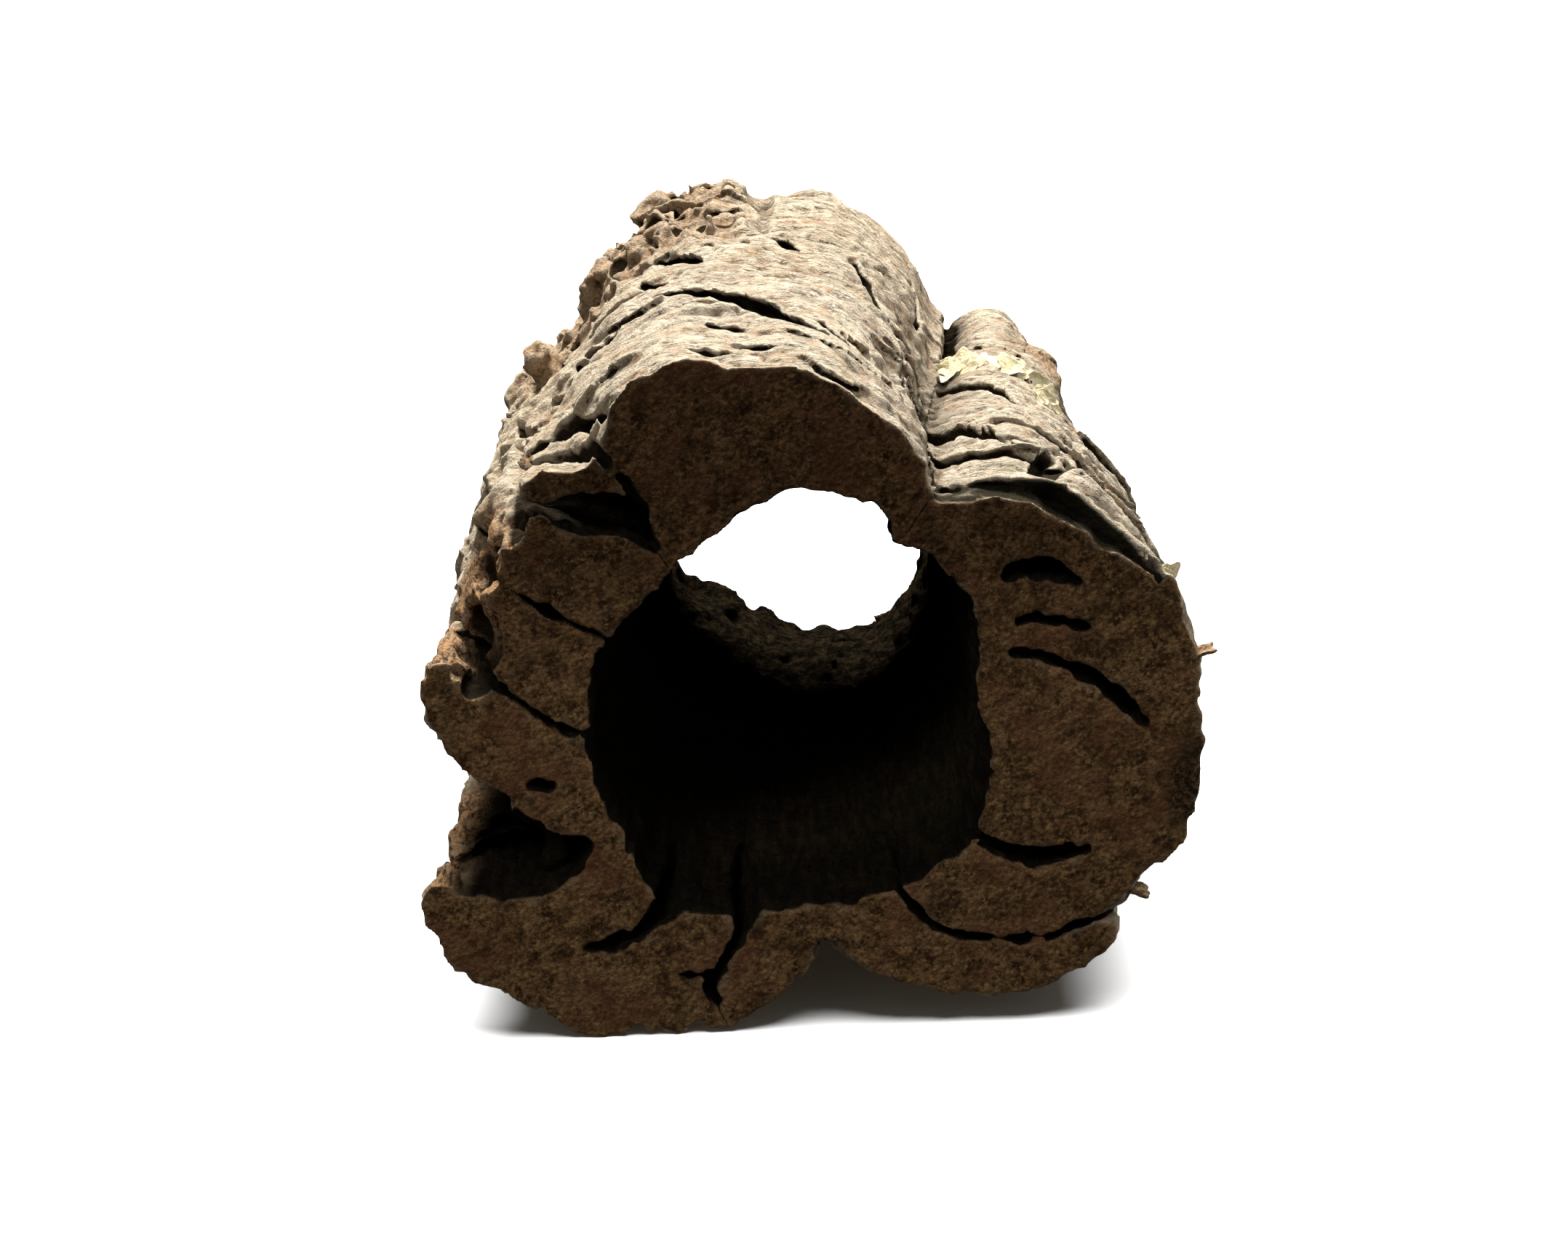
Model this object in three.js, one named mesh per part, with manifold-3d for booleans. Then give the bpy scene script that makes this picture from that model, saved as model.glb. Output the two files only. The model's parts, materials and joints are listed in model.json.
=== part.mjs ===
// A cork bark round: the hollow tube of bark that comes off a cork oak limb in one ring, sawn off at both
// ends. It lies on two small flats. Six slabs make the ring, parted by fissures that run from the hollow to
// the outside, and a few natural pieces sit on it: lichens, a knob, loose flakes and a snapped twig stub.
import * as THREE from "three";
import { mergeVertices } from "three/addons/utils/BufferGeometryUtils.js";
import Module from "manifold-3d";

const wasm = await Module();
wasm.setup();

// Driving dimensions, in millimetres. X runs across the round, Y along the hollow, Z up.
const length = 222; // between the two saw cuts, at mid width
const frontSkew = Math.tan(THREE.MathUtils.degToRad(5)); // the front saw cut isn't square to the hollow
const backSkew = Math.tan(THREE.MathUtils.degToRad(-3));
const skewPivotX = -83; // the left edge, where the front saw cut starts
const bodyStation = 35; // behind the chipped rim, the section settles to its full shape
const seamGap = 0.5; // least width of a fissure between two slabs
const overshoot = 8; // how far cutting solids run past what they cut
const stationCount = 19; // sections along the tube
const samplesPerLandmark = 2;

// The outer outline, as landmarks that keep their place in the bark from the front cut to the back cut.
// Each line is [x, z] at the front cut, [x, z] at the body station and [x, z] at the back cut.
const rightSide = [
  [[29, 125], [32, 124], [47, 122]],
  [[34, 129], [36, 129], [51, 126]],
  [[44, 132], [45, 133], [56, 129]],
  [[54, 133], [55, 134], [62, 129]],
  [[67, 129], [66, 130], [67, 125]],
  [[77, 121], [76, 122], [71, 117]],
  [[86, 112], [84, 113], [78, 105]],
  [[92, 101], [90, 103], [84, 93]],
  [[97, 90], [95, 91], [89, 81]],
  [[97, 78], [97, 77], [93, 68]],
  [[98, 62], [98, 62], [95, 55]],
  [[95, 49], [96, 48], [93, 43]],
  [[88, 39], [90, 37], [88, 32]],
  [[80, 28], [82, 26], [81, 21]],
];
const underside = [
  [[79, 20], [79, 17], [75, 13]],
  [[68, 12], [69, 9], [66, 6]],
  [[56, 6], [56, 3], [55, -1]],
  [[44, 8], [43, 0], [42, -1]],
  [[34, 11], [33, 5], [31, 2]],
  [[22, 14], [23, 11], [21, 8]],
  [[13, 20], [13, 17], [12, 12]],
  [[8, 25], [7, 22], [5, 15]],
  [[7, 19], [4, 15], [-1, 11]],
  [[0, 10], [-1, 8], [-7, 5]],
  [[-9, 4], [-10, 1], [-15, 0]],
  [[-16, -1], [-17, -1], [-22, -2]],
  [[-30, -2], [-31, -2], [-34, -2]],
  [[-44, -1], [-45, -1], [-47, -1]],
  [[-56, 8], [-57, 6], [-59, 5]],
  [[-68, 14], [-69, 14], [-70, 12]],
  [[-78, 24], [-76, 24], [-78, 22]],
  [[-85, 36], [-79, 33], [-83, 33]],
  [[-80, 42], [-79, 40], [-86, 42]],
];
const notch = [
  [[-74, 38], [-74, 44], [-87, 47]],
  [[-62, 36], [-69, 45], [-86, 51]],
  [[-53, 38], [-65, 46], [-86, 54]],
  [[-47, 44], [-62, 49], [-86, 57]],
  [[-44, 50], [-60, 52], [-86, 60]],
  [[-52, 52], [-62, 55], [-86, 63]],
  [[-61, 57], [-67, 59], [-86, 67]],
  [[-70, 64], [-74, 65], [-86, 71]],
];
const leftSide = [
  [[-78, 72], [-80, 72], [-85, 76]],
  [[-81, 82], [-82, 80], [-84, 82]],
  [[-79, 92], [-81, 89], [-82, 88]],
  [[-74, 97], [-80, 96], [-81, 93]],
  [[-68, 91], [-78, 100], [-80, 97]],
  [[-65, 99], [-76, 105], [-79, 101]],
  [[-66, 109], [-74, 110], [-77, 106]],
  [[-64, 114], [-72, 116], [-75, 110]],
  [[-62, 121], [-70, 122], [-71, 115]],
  [[-56, 128], [-66, 129], [-65, 119]],
  [[-58, 136], [-61, 136], [-58, 124]],
];
const crownTop = [
  [[-46, 138], [-53, 143], [-56, 132]],
  [[-42, 146], [-47, 149], [-50, 141]],
  [[-39, 156], [-41, 155], [-45, 150]],
  [[-31, 162], [-33, 160], [-37, 157]],
  [[-22, 164], [-24, 163], [-27, 163]],
  [[-11, 161], [-13, 163], [-16, 165]],
  [[1, 163], [-1, 164], [-7, 164]],
  [[10, 159], [9, 162], [2, 164]],
  [[18, 153], [18, 157], [12, 164]],
  [[26, 146], [26, 149], [24, 157]],
  [[31, 138], [31, 140], [34, 148]],
  [[31, 130], [32, 130], [41, 135]],
];
const outerLandmarks = [...rightSide, ...underside, ...notch, ...leftSide, ...crownTop];

// The hollow's outline: [x, z] at the front cut and [x, z] at the back cut.
const hollowLandmarks = [
  [[28, 122], [36, 104]],
  [[22, 130], [30, 112]],
  [[13, 132], [20, 118]],
  [[1, 134], [6, 122]],
  [[-6, 131], [-5, 121]],
  [[-17, 123], [-15, 116]],
  [[-30, 111], [-26, 108]],
  [[-41, 99], [-34, 97]],
  [[-46, 85], [-38, 84]],
  [[-44, 70], [-38, 71]],
  [[-42, 58], [-35, 59]],
  [[-35, 46], [-29, 48]],
  [[-31, 37], [-21, 43]],
  [[-20, 30], [-10, 38]],
  [[-5, 31], [1, 34]],
  [[9, 32], [10, 33]],
  [[26, 35], [20, 33]],
  [[37, 41], [29, 36]],
  [[45, 50], [36, 44]],
  [[48, 63], [41, 57]],
  [[46, 80], [43, 71]],
  [[44, 95], [43, 84]],
  [[43, 107], [41, 95]],
];

// Fissures that part two slabs. Points are [x, z, half width], from the hollow outwards, at the front cut,
// and [x, z] at the back cut, where the fissure is a hairline. It closes up between the two depths in open.
const seams = [
  {
    between: "crown and right slab",
    front: [[20, 113, 0.8], [25, 119, 0.8], [28.7, 124, 0.7], [32, 130, 0.7], [33.5, 138, 1]],
    back: [[26, 84], [33, 100], [43, 125], [45.5, 134], [47, 146]],
    open: [20, 60],
  },
  {
    between: "crown and upper left slab",
    front: [
      [-21, 108, 0.4], [-28, 119, 0.4], [-32, 125, 2.6], [-39, 129, 5], [-49, 130.5, 4.6],
      [-58, 131.5, 3], [-72, 132, 3],
    ],
    back: [[-22, 96], [-34, 103], [-42, 108], [-50, 112], [-58, 117], [-66, 122.5], [-78, 130]],
    open: [35, 90],
  },
  {
    between: "upper left and mid left slab",
    front: [[-35, 97, 0.9], [-43, 101, 1.1], [-52, 105, 1.6], [-60, 110.5, 1.2], [-66, 115, 2], [-76, 120, 2.5]],
    back: [[-28, 91], [-40, 97], [-52, 102], [-64, 107], [-76, 112], [-90, 119]],
    open: [12, 60],
  },
  {
    between: "mid left and lower left slab",
    front: [[-38, 76, 0.9], [-49, 77.5, 1.2], [-56, 81, 1.5], [-62, 86, 1.3], [-69, 91, 2], [-82, 101, 3]],
    back: [[-32, 77], [-44, 80], [-56, 84], [-68, 89], [-80, 95.5], [-94, 103]],
    open: [12, 60],
  },
  {
    between: "lower left and bottom slab",
    front: [
      [-7.5, 38, 3], [-8.5, 31, 2.8], [-11, 24, 2], [-15, 17, 1.6], [-17, 11, 1.3], [-15, 5, 0.6],
      [-12.5, 0, 0.4], [-12, -8, 0.4],
    ],
    back: [[-10, 48], [-11, 38], [-12, 30], [-13, 23], [-14, 16], [-15, 9], [-15.5, 3], [-16, -8]],
    open: [10, 70],
  },
  {
    between: "bottom and right slab",
    front: [
      [24, 40, 1.2], [29, 33, 1.2], [33, 28, 1.4], [39, 24, 1.4], [47, 22.3, 1.2], [56, 21.5, 0.9],
      [65, 22.5, 1], [74, 25.5, 1.4], [88, 31, 1.6],
    ],
    back: [[20, 42], [28, 33], [34, 27], [41, 22], [49, 19], [58, 17], [67, 16.5], [76, 17], [92, 18]],
    open: [15, 80],
  },
];

// Blind fissures, run in from one saw cut to a depth and narrowing on the way. Points are [x, z, half width].
const blindFissures = [
  { from: "front", depth: 38, line: [[-22, 40, 4], [-28, 32, 3], [-33, 27, 1.7], [-40, 24, 2], [-50, 22, 0.4]] },
  { from: "front", depth: 18, line: [[-17, 15.5, 1.4], [-26, 15, 0.8], [-36, 14, 0.6], [-46, 13, 0.9], [-52, 12.5, 0.3]] },
  { from: "front", depth: 20, line: [[-18.5, 14, 2.4], [-16.5, 10, 1.8], [-14.5, 6.5, 0.6]] },
  {
    from: "front",
    depth: 42,
    line: [[42, 52, 0.8], [47, 47, 0.9], [53, 43.8, 1.8], [60, 42.5, 2.4], [67, 42.8, 2.1], [73, 44.5, 0.6]],
  },
  {
    from: "front",
    depth: 48,
    line: [
      [47, 92, 0.4], [53, 93.5, 1.2], [60, 92.5, 1.5], [68, 89.5, 1.7], [75, 84.5, 2.2], [81, 79, 1.9],
      [88, 72, 0.4],
    ],
  },
  { from: "front", depth: 36, line: [[50, 99.5, 0.4], [56, 102, 1.4], [63, 101.5, 1.6], [70, 99, 1.1], [77, 95.5, 0.3]] },
  { from: "front", depth: 30, line: [[49, 111, 0.6], [54, 114, 2.4], [60, 113.5, 3.2], [66, 111.5, 2.2], [71, 109, 0.5]] },
  { from: "front", depth: 30, line: [[-59, 64, 1], [-56, 64.5, 2.1], [-53, 64, 1]] },
  { from: "front", depth: 46, line: [[-76, 39, 1.5], [-68, 40, 3.2], [-58, 41, 4.5], [-50, 45, 4], [-45, 48.5, 1]] },
  { from: "back", depth: 34, line: [[50, 60, 0.5], [58, 66, 1.8], [66, 70, 2.4], [75, 71, 1.6], [84, 69, 0.4]] },
  { from: "back", depth: 30, line: [[46, 92, 0.5], [54, 98, 1.7], [62, 101, 1.5], [70, 100, 0.4]] },
  { from: "back", depth: 26, line: [[-44, 52, 0.5], [-54, 46, 2], [-64, 42, 2.2], [-74, 42, 0.5]] },
  { from: "back", depth: 28, line: [[-30, 26, 0.4], [-42, 20, 1.6], [-54, 18, 1.4], [-64, 20, 0.3]] },
  { from: "back", depth: 30, line: [[-28, 136, 0.4], [-14, 141, 2], [0, 143, 2.2], [12, 141, 1.4], [22, 135, 0.4]] },
];

// Each slab is found by a point inside it, [x, z], at mid length.
const midY = length / 2;
const slabs = [
  { name: "crown_slab", inside: [-5, 146], colour: 0xc2ab84 },
  { name: "upper_left_slab", inside: [-55, 112], colour: 0xb59c74 },
  { name: "mid_left_slab", inside: [-60, 95], colour: 0xa98f69 },
  { name: "lower_left_slab", inside: [-55, 30], colour: 0x9c8260 },
  { name: "bottom_slab", inside: [48, 10], colour: 0x94795a },
  { name: "right_slab", inside: [70, 80], colour: 0xb39a75 },
];

function smoothStep(low, high, value) {
  const t = THREE.MathUtils.clamp((value - low) / (high - low), 0, 1);
  return t * t * (3 - 2 * t);
}

// Where the saw cuts lie along Y at a given x.
function frontCutY(x) {
  return frontSkew * (x - skewPivotX);
}
function backCutY(x) {
  return length + backSkew * x;
}

// A point at x, z and the share s of the way from the front cut to the back cut.
function between(x, z, s) {
  return new THREE.Vector3(x, THREE.MathUtils.lerp(frontCutY(x), backCutY(x), s), z);
}

// A smooth closed curve through [x, z] points, sampled so that every point keeps its own index.
function closedSamples(points) {
  const curve = new THREE.CatmullRomCurve3(
    points.map(([x, z]) => new THREE.Vector3(x, 0, z)),
    true,
    "centripetal",
  );
  const count = points.length * samplesPerLandmark;
  return Array.from({ length: count }, (_, i) => curve.getPoint(i / count));
}

// Low swellings that run round and along the bark, in millimetres. They fade out at the front rim.
function swelling(turn, s) {
  const around = turn * 2 * Math.PI;
  const wave =
    Math.sin(3 * around + 5.2 * s + 0.6) * Math.sin(7.5 * s + 1.1) +
    0.6 * Math.sin(7 * around - 9 * s) * Math.sin(11 * s + 2.3);
  return (1.1 * wave - 0.6) * smoothStep(0.03, 0.25, s);
}

// The outer surface as a grid of points: one closed loop for each station.
const stations = Array.from({ length: stationCount }, (_, j) => Math.pow(j / (stationCount - 1), 1.25));
const bodyShare = bodyStation / length;
const outerLoops = stations.map((s) => {
  const toBody = smoothStep(0, bodyShare, s);
  const toBack = smoothStep(0, 1, (s - bodyShare) / (1 - bodyShare));
  const section = outerLandmarks.map(([front, body, back]) =>
    [0, 1].map((k) => THREE.MathUtils.lerp(THREE.MathUtils.lerp(front[k], body[k], toBody), back[k], toBack)),
  );
  const samples = closedSamples(section);
  const middle = new THREE.Vector3(5, 0, 80);
  return samples.map((p, i) => {
    const outward = p.clone().sub(middle).normalize();
    const q = p.clone().addScaledVector(outward, swelling(i / samples.length, s));
    return between(q.x, q.z, s);
  });
});

// The end of a loft, as triangles that turn the same way as its outline.
function plainCap(loop) {
  const outline = loop.map((p) => new THREE.Vector2(p.x, p.z));
  const triangles = THREE.ShapeUtils.triangulateShape(outline, []);
  const turn = THREE.ShapeUtils.area(triangles[0].map((i) => outline[i])) * THREE.ShapeUtils.area(outline);
  return turn > 0 ? triangles : reversed(triangles);
}

// The same for a long strip, whose two sides run beside each other.
function stripCap(loop) {
  const triangles = [];
  for (let i = 0; i < loop.length / 2 - 1; i++) {
    const [a, b, c, d] = [i, i + 1, loop.length - 2 - i, loop.length - 1 - i];
    triangles.push([a, b, c], [a, c, d]);
  }
  return triangles;
}

function reversed(triangles) {
  return triangles.map(([a, b, c]) => [a, c, b]);
}

// A closed solid from loops of equal length, capped at both ends.
function loft(loops, cap = plainCap) {
  const n = loops[0].length;
  const points = loops.flat();
  const triangles = [];
  for (let j = 0; j < loops.length - 1; j++) {
    for (let i = 0; i < n; i++) {
      const a = j * n + i;
      const b = j * n + ((i + 1) % n);
      triangles.push([a, b, a + n], [b, b + n, a + n]);
    }
  }
  const last = (loops.length - 1) * n;
  triangles.push(...reversed(cap(loops[0])));
  triangles.push(...cap(loops[loops.length - 1]).map((corners) => corners.map((i) => i + last)));
  return solidFrom(points, orientOut(points, triangles));
}

function orientOut(points, triangles) {
  const volume = triangles.reduce((sum, [a, b, c]) => {
    const normal = points[b].clone().cross(points[c]);
    return sum + points[a].dot(normal);
  }, 0);
  return volume < 0 ? reversed(triangles) : triangles;
}

function solidFrom(points, triangles) {
  return new wasm.Manifold(
    new wasm.Mesh({
      numProp: 3,
      vertProperties: new Float32Array(points.flatMap((p) => [p.x, p.y, p.z])),
      triVerts: new Uint32Array(triangles.flat()),
    }),
  );
}

function solidFromGeometry(geometry) {
  const bare = geometry.clone();
  bare.deleteAttribute("normal");
  bare.deleteAttribute("uv");
  const merged = mergeVertices(bare, 1e-4);
  return new wasm.Manifold(
    new wasm.Mesh({
      numProp: 3,
      vertProperties: merged.attributes.position.array,
      triVerts: new Uint32Array(merged.index.array),
    }),
  );
}

function geometryFrom(solid) {
  const mesh = solid.getMesh();
  const geometry = new THREE.BufferGeometry();
  const stride = mesh.numProp;
  const positions = new Float32Array(mesh.numVert * 3);
  for (let i = 0; i < mesh.numVert; i++) {
    positions.set(mesh.vertProperties.subarray(i * stride, i * stride + 3), i * 3);
  }
  geometry.setAttribute("position", new THREE.BufferAttribute(positions, 3));
  geometry.setIndex(new THREE.BufferAttribute(mesh.triVerts, 1));
  geometry.computeVertexNormals();
  return geometry;
}

// The hollow, carried past both saw cuts.
function hollowSolid() {
  const shares = [-overshoot / length, 0, 0.25, 0.5, 0.75, 1, 1 + overshoot / length];
  return loft(
    shares.map((s) => {
      const section = hollowLandmarks.map(([front, back]) =>
        [0, 1].map((k) => THREE.MathUtils.lerp(front[k], back[k], s)),
      );
      return closedSamples(section).map((p) => between(p.x, p.z, s));
    }),
  );
}

// The outline of a fissure of varying half width around a line of [x, z, half width] points.
function fissureLoop(line, y) {
  const side = (sign) =>
    line.map(([x, z, half], i) => {
      const before = line[Math.max(i - 1, 0)];
      const after = line[Math.min(i + 1, line.length - 1)];
      const along = new THREE.Vector2(after[0] - before[0], after[1] - before[1]).normalize();
      const px = x - sign * along.y * half;
      const pz = z + sign * along.x * half;
      return new THREE.Vector3(px, y(px), pz);
    });
  return [...side(1), ...side(-1).reverse()];
}

function seamSolid({ front, back, open }) {
  const shares = [-overshoot / length, 0, 0.06, 0.14, 0.24, 0.36, 0.5, 0.75, 1, 1 + overshoot / length];
  return loft(
    shares.map((s) => {
      const closed = smoothStep(open[0], open[1], s * length);
      const line = front.map(([x, z, half], i) => {
        const share = THREE.MathUtils.clamp(s, 0, 1);
        return [
          THREE.MathUtils.lerp(x, back[i][0], share),
          THREE.MathUtils.lerp(z, back[i][1], share),
          THREE.MathUtils.lerp(half, seamGap / 2, closed),
        ];
      });
      return fissureLoop(line, (x) => THREE.MathUtils.lerp(frontCutY(x), backCutY(x), s));
    }),
    stripCap,
  );
}

function blindSolid({ from, depth, line }) {
  const shares = [-overshoot / depth, 0, 0.45, 0.8, 1];
  const taper = (t) => Math.sqrt(Math.max(1 - t * t, 0.02));
  return loft(
    shares.map((t) => {
      const scaled = line.map(([x, z, half]) => [x, z, half * taper(Math.max(t, 0))]);
      return fissureLoop(scaled, (x) => (from === "front" ? frontCutY(x) + t * depth : backCutY(x) - t * depth));
    }),
    stripCap,
  );
}

// What lies below the resting plane is cut away, which leaves the two flats.
function belowFloor() {
  const depth = 20;
  const geometry = new THREE.BoxGeometry(400, 600, depth);
  geometry.translate(0, midY, -depth / 2);
  return solidFromGeometry(geometry);
}

function cutSlabs() {
  const cutters = [...seams.map(seamSolid), ...blindFissures.map(blindSolid), hollowSolid(), belowFloor()];
  const ring = cutters.reduce((solid, cutter) => solid.subtract(cutter), loft(outerLoops));
  const pieces = ring.decompose();
  return slabs.map(({ name, inside, colour }) => {
    const probe = new THREE.BoxGeometry(1, 1, 1);
    probe.translate(inside[0], midY, inside[1]);
    const probeSolid = solidFromGeometry(probe);
    const solid = pieces.find((piece) => piece.intersect(probeSolid).volume() > 0.5);
    if (!solid) throw new Error("no bark found for " + name);
    return { name, solid, colour };
  });
}

function material(colour, roughness) {
  return new THREE.MeshStandardMaterial({ color: colour, roughness, metalness: 0 });
}

const round = new THREE.Group();
const slabSolids = cutSlabs();
slabSolids.forEach(({ name, solid, colour }) => {
  const mesh = new THREE.Mesh(geometryFrom(solid), material(colour, 0.92));
  mesh.name = name;
  round.add(mesh);
});

// A point of the faceted outer surface, and the way out of it, at a landmark number and a length along Y.
const landmarkCount = outerLandmarks.length;
function onBark(landmark, y) {
  const columns = outerLoops[0].length;
  const u = ((landmark / landmarkCount) * columns + columns) % columns;
  const s = THREE.MathUtils.clamp(y / length, 0, 1);
  const v = Math.pow(s, 1 / 1.25) * (stationCount - 1);
  const at = (du, dv) => {
    const i = Math.floor(u + du);
    const j = Math.min(Math.floor(v + dv), stationCount - 2);
    const fu = u + du - i;
    const fv = v + dv - j;
    const corner = (a, b) => outerLoops[j + b][(i + a + columns) % columns];
    const low = corner(0, 0).clone().lerp(corner(1, 0), fu);
    const high = corner(0, 1).clone().lerp(corner(1, 1), fu);
    return low.lerp(high, fv);
  };
  const here = at(0, 0);
  const acrossStep = at(0.6, 0).sub(here);
  const alongStep = at(0, 0.3).sub(here);
  const out = alongStep.cross(acrossStep).normalize();
  const fromMiddle = here.clone().sub(new THREE.Vector3(5, here.y, 80));
  return { point: here, out: out.dot(fromMiddle) < 0 ? out.negate() : out };
}

// A lichen: a thin lobed crust that follows the bark just under it.
const lichenClearance = 0.7;
const lichenThickness = 0.9;
function lichen({ name, landmark, y, spreadLandmarks, spreadY, lobes, phase }) {
  const rings = [0.35, 0.7, 1];
  const sectors = 20;
  const place = (radius, angle, lift) => {
    const edge = radius * (1 + 0.22 * Math.sin(lobes * angle + phase) + 0.1 * Math.sin(2 * lobes * angle));
    const spot = onBark(landmark + spreadLandmarks * edge * Math.cos(angle), y + spreadY * edge * Math.sin(angle));
    return spot.point.addScaledVector(spot.out, lift);
  };
  const points = [];
  const triangles = [];
  const skins = [lichenClearance, lichenClearance + lichenThickness];
  skins.forEach((lift, side) => {
    const first = points.length;
    points.push(place(0, 0, lift));
    rings.forEach((radius) => {
      for (let k = 0; k < sectors; k++) points.push(place(radius, (2 * Math.PI * k) / sectors, lift));
    });
    const ringStart = (r) => first + 1 + r * sectors;
    for (let k = 0; k < sectors; k++) {
      const next = (k + 1) % sectors;
      const faces = [[first, ringStart(0) + k, ringStart(0) + next]];
      for (let r = 0; r < rings.length - 1; r++) {
        const [a, b] = [ringStart(r) + k, ringStart(r) + next];
        const [c, d] = [ringStart(r + 1) + k, ringStart(r + 1) + next];
        faces.push([a, c, b], [b, c, d]);
      }
      faces.forEach(([a, b, c]) => triangles.push(side ? [a, b, c] : [a, c, b]));
    }
  });
  const rim = 1 + (rings.length - 1) * sectors;
  const skinSize = 1 + rings.length * sectors;
  for (let k = 0; k < sectors; k++) {
    const next = (k + 1) % sectors;
    const [a, b, c, d] = [rim + k, rim + next, skinSize + rim + k, skinSize + rim + next];
    triangles.push([a, b, c], [b, d, c]);
  }
  const mesh = new THREE.Mesh(geometryFrom(solidFrom(points, orientOut(points, triangles))), material(0xd9d3a4, 0.85));
  mesh.name = name;
  return mesh;
}

const lichens = [
  { name: "lichen_large", landmark: 1.35, y: 141, spreadLandmarks: 0.9, spreadY: 6.5, lobes: 5, phase: 0.4 },
  { name: "lichen_ridge", landmark: 3.1, y: 139, spreadLandmarks: 0.5, spreadY: 6, lobes: 4, phase: 1.9 },
  { name: "lichen_shoulder", landmark: 4.15, y: 138, spreadLandmarks: 0.3, spreadY: 4, lobes: 6, phase: 2.6 },
  { name: "lichen_drop", landmark: 4.2, y: 118, spreadLandmarks: 0.3, spreadY: 4.5, lobes: 4, phase: 0.9 },
  { name: "lichen_side", landmark: 6.85, y: 23, spreadLandmarks: 0.25, spreadY: 3, lobes: 5, phase: 1.2 },
  { name: "lichen_rim", landmark: 7.65, y: 19, spreadLandmarks: 0.16, spreadY: 2.5, lobes: 4, phase: 2.2 },
];
lichens.forEach((entry) => round.add(lichen(entry)));

// A lump of bark, a ball roughened by folding it along its own axes, kept clear of the slabs it touches.
const contactGap = 0.35;
function lump({ name, at, size, tilt = [0, 0, 0], colour, pinch = 0, detail = 2 }) {
  const geometry = new THREE.IcosahedronGeometry(1, detail);
  const place = geometry.attributes.position;
  const v = new THREE.Vector3();
  for (let i = 0; i < place.count; i++) {
    v.fromBufferAttribute(place, i);
    const crease = 1 + 0.1 * Math.sin(5 * v.x + 3 * v.y) + 0.08 * Math.sin(6 * v.z - 4 * v.x);
    const taper = 1 - pinch * (0.5 - 0.5 * v.z);
    v.set(v.x * crease * taper, v.y * crease * taper, v.z * crease);
    place.setXYZ(i, v.x, v.y, v.z);
  }
  geometry.scale(size[0] / 2, size[1] / 2, size[2] / 2);
  const turn = new THREE.Euler(...tilt.map(THREE.MathUtils.degToRad));
  geometry.applyMatrix4(new THREE.Matrix4().makeRotationFromEuler(turn));
  geometry.translate(...at);
  return { name, colour, solid: solidFromGeometry(geometry) };
}

// What is left of a small piece once every slab, moved by the contact gap along six directions, is cut from it.
function clearOfSlabs(solid) {
  const shifts = [[1, 0, 0], [-1, 0, 0], [0, 1, 0], [0, -1, 0], [0, 0, 1], [0, 0, -1], [0, 0, 0]];
  slabSolids.forEach((slab) => {
    shifts.forEach((shift) => {
      solid = solid.subtract(slab.solid.translate(shift.map((d) => d * contactGap)));
    });
  });
  const pieces = solid.decompose();
  return pieces.reduce((largest, piece) => (piece.volume() > largest.volume() ? piece : largest), pieces[0]);
}

const lumps = [
  { name: "notch_stub", at: [-54.5, 14, 45], size: [6.5, 7, 17], tilt: [8, -6, 0], colour: 0x8a7355, pinch: 0.35 },
  { name: "right_knob", at: [69, 176, 117], size: [12, 30, 18], tilt: [0, 18, 8], colour: 0x9b8361 },
  { name: "left_knob", at: [-65, 150, 130], size: [13, 22, 14], tilt: [0, -16, 0], colour: 0xa88d65 },
  { name: "rim_flake", at: [96.3, 18, 91], size: [4.5, 7, 7], tilt: [0, 20, 0], colour: 0xa9987a, detail: 1 },
  { name: "hanging_chip", at: [84, 17, 32], size: [8, 6, 5.5], tilt: [0, 25, 10], colour: 0x8f7654, detail: 1 },
  { name: "side_flake", at: [-58, 26, 135.5], size: [8, 8, 5], tilt: [0, 30, 20], colour: 0xb08355, detail: 1 },
];
lumps.map(lump).forEach(({ name, colour, solid }) => {
  const mesh = new THREE.Mesh(geometryFrom(clearOfSlabs(solid)), material(colour, 0.9));
  mesh.name = name;
  round.add(mesh);
});

// A curl of old bark caught in the notch: a thin strip bent over along its length.
function notchCurl() {
  const centre = [-65, 42];
  const thickness = 1.6;
  const arcSteps = 9;
  const depths = [23, 29, 36, 44];
  const loops = depths.map((y, j) => {
    const radius = 9 - 0.7 * j;
    const arc = (r) =>
      Array.from({ length: arcSteps }, (_, k) => {
        const angle = THREE.MathUtils.degToRad(195 - (150 * k) / (arcSteps - 1));
        return new THREE.Vector3(centre[0] + 1.15 * r * Math.cos(angle), y, centre[1] + r * Math.sin(angle));
      });
    return [...arc(radius), ...arc(radius - thickness).reverse()];
  });
  return { name: "notch_curl", colour: 0x9a7d58, solid: clearOfSlabs(loft(loops)) };
}
const curl = notchCurl();
const curlMesh = new THREE.Mesh(geometryFrom(curl.solid), material(curl.colour, 0.9));
curlMesh.name = curl.name;
round.add(curlMesh);

// The origin is the bottom centre of the whole round.
const bounds = new THREE.Box3().setFromObject(round);
const centre = bounds.getCenter(new THREE.Vector3());
round.position.set(-centre.x, -centre.y, -bounds.min.z);

export default round;
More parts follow.
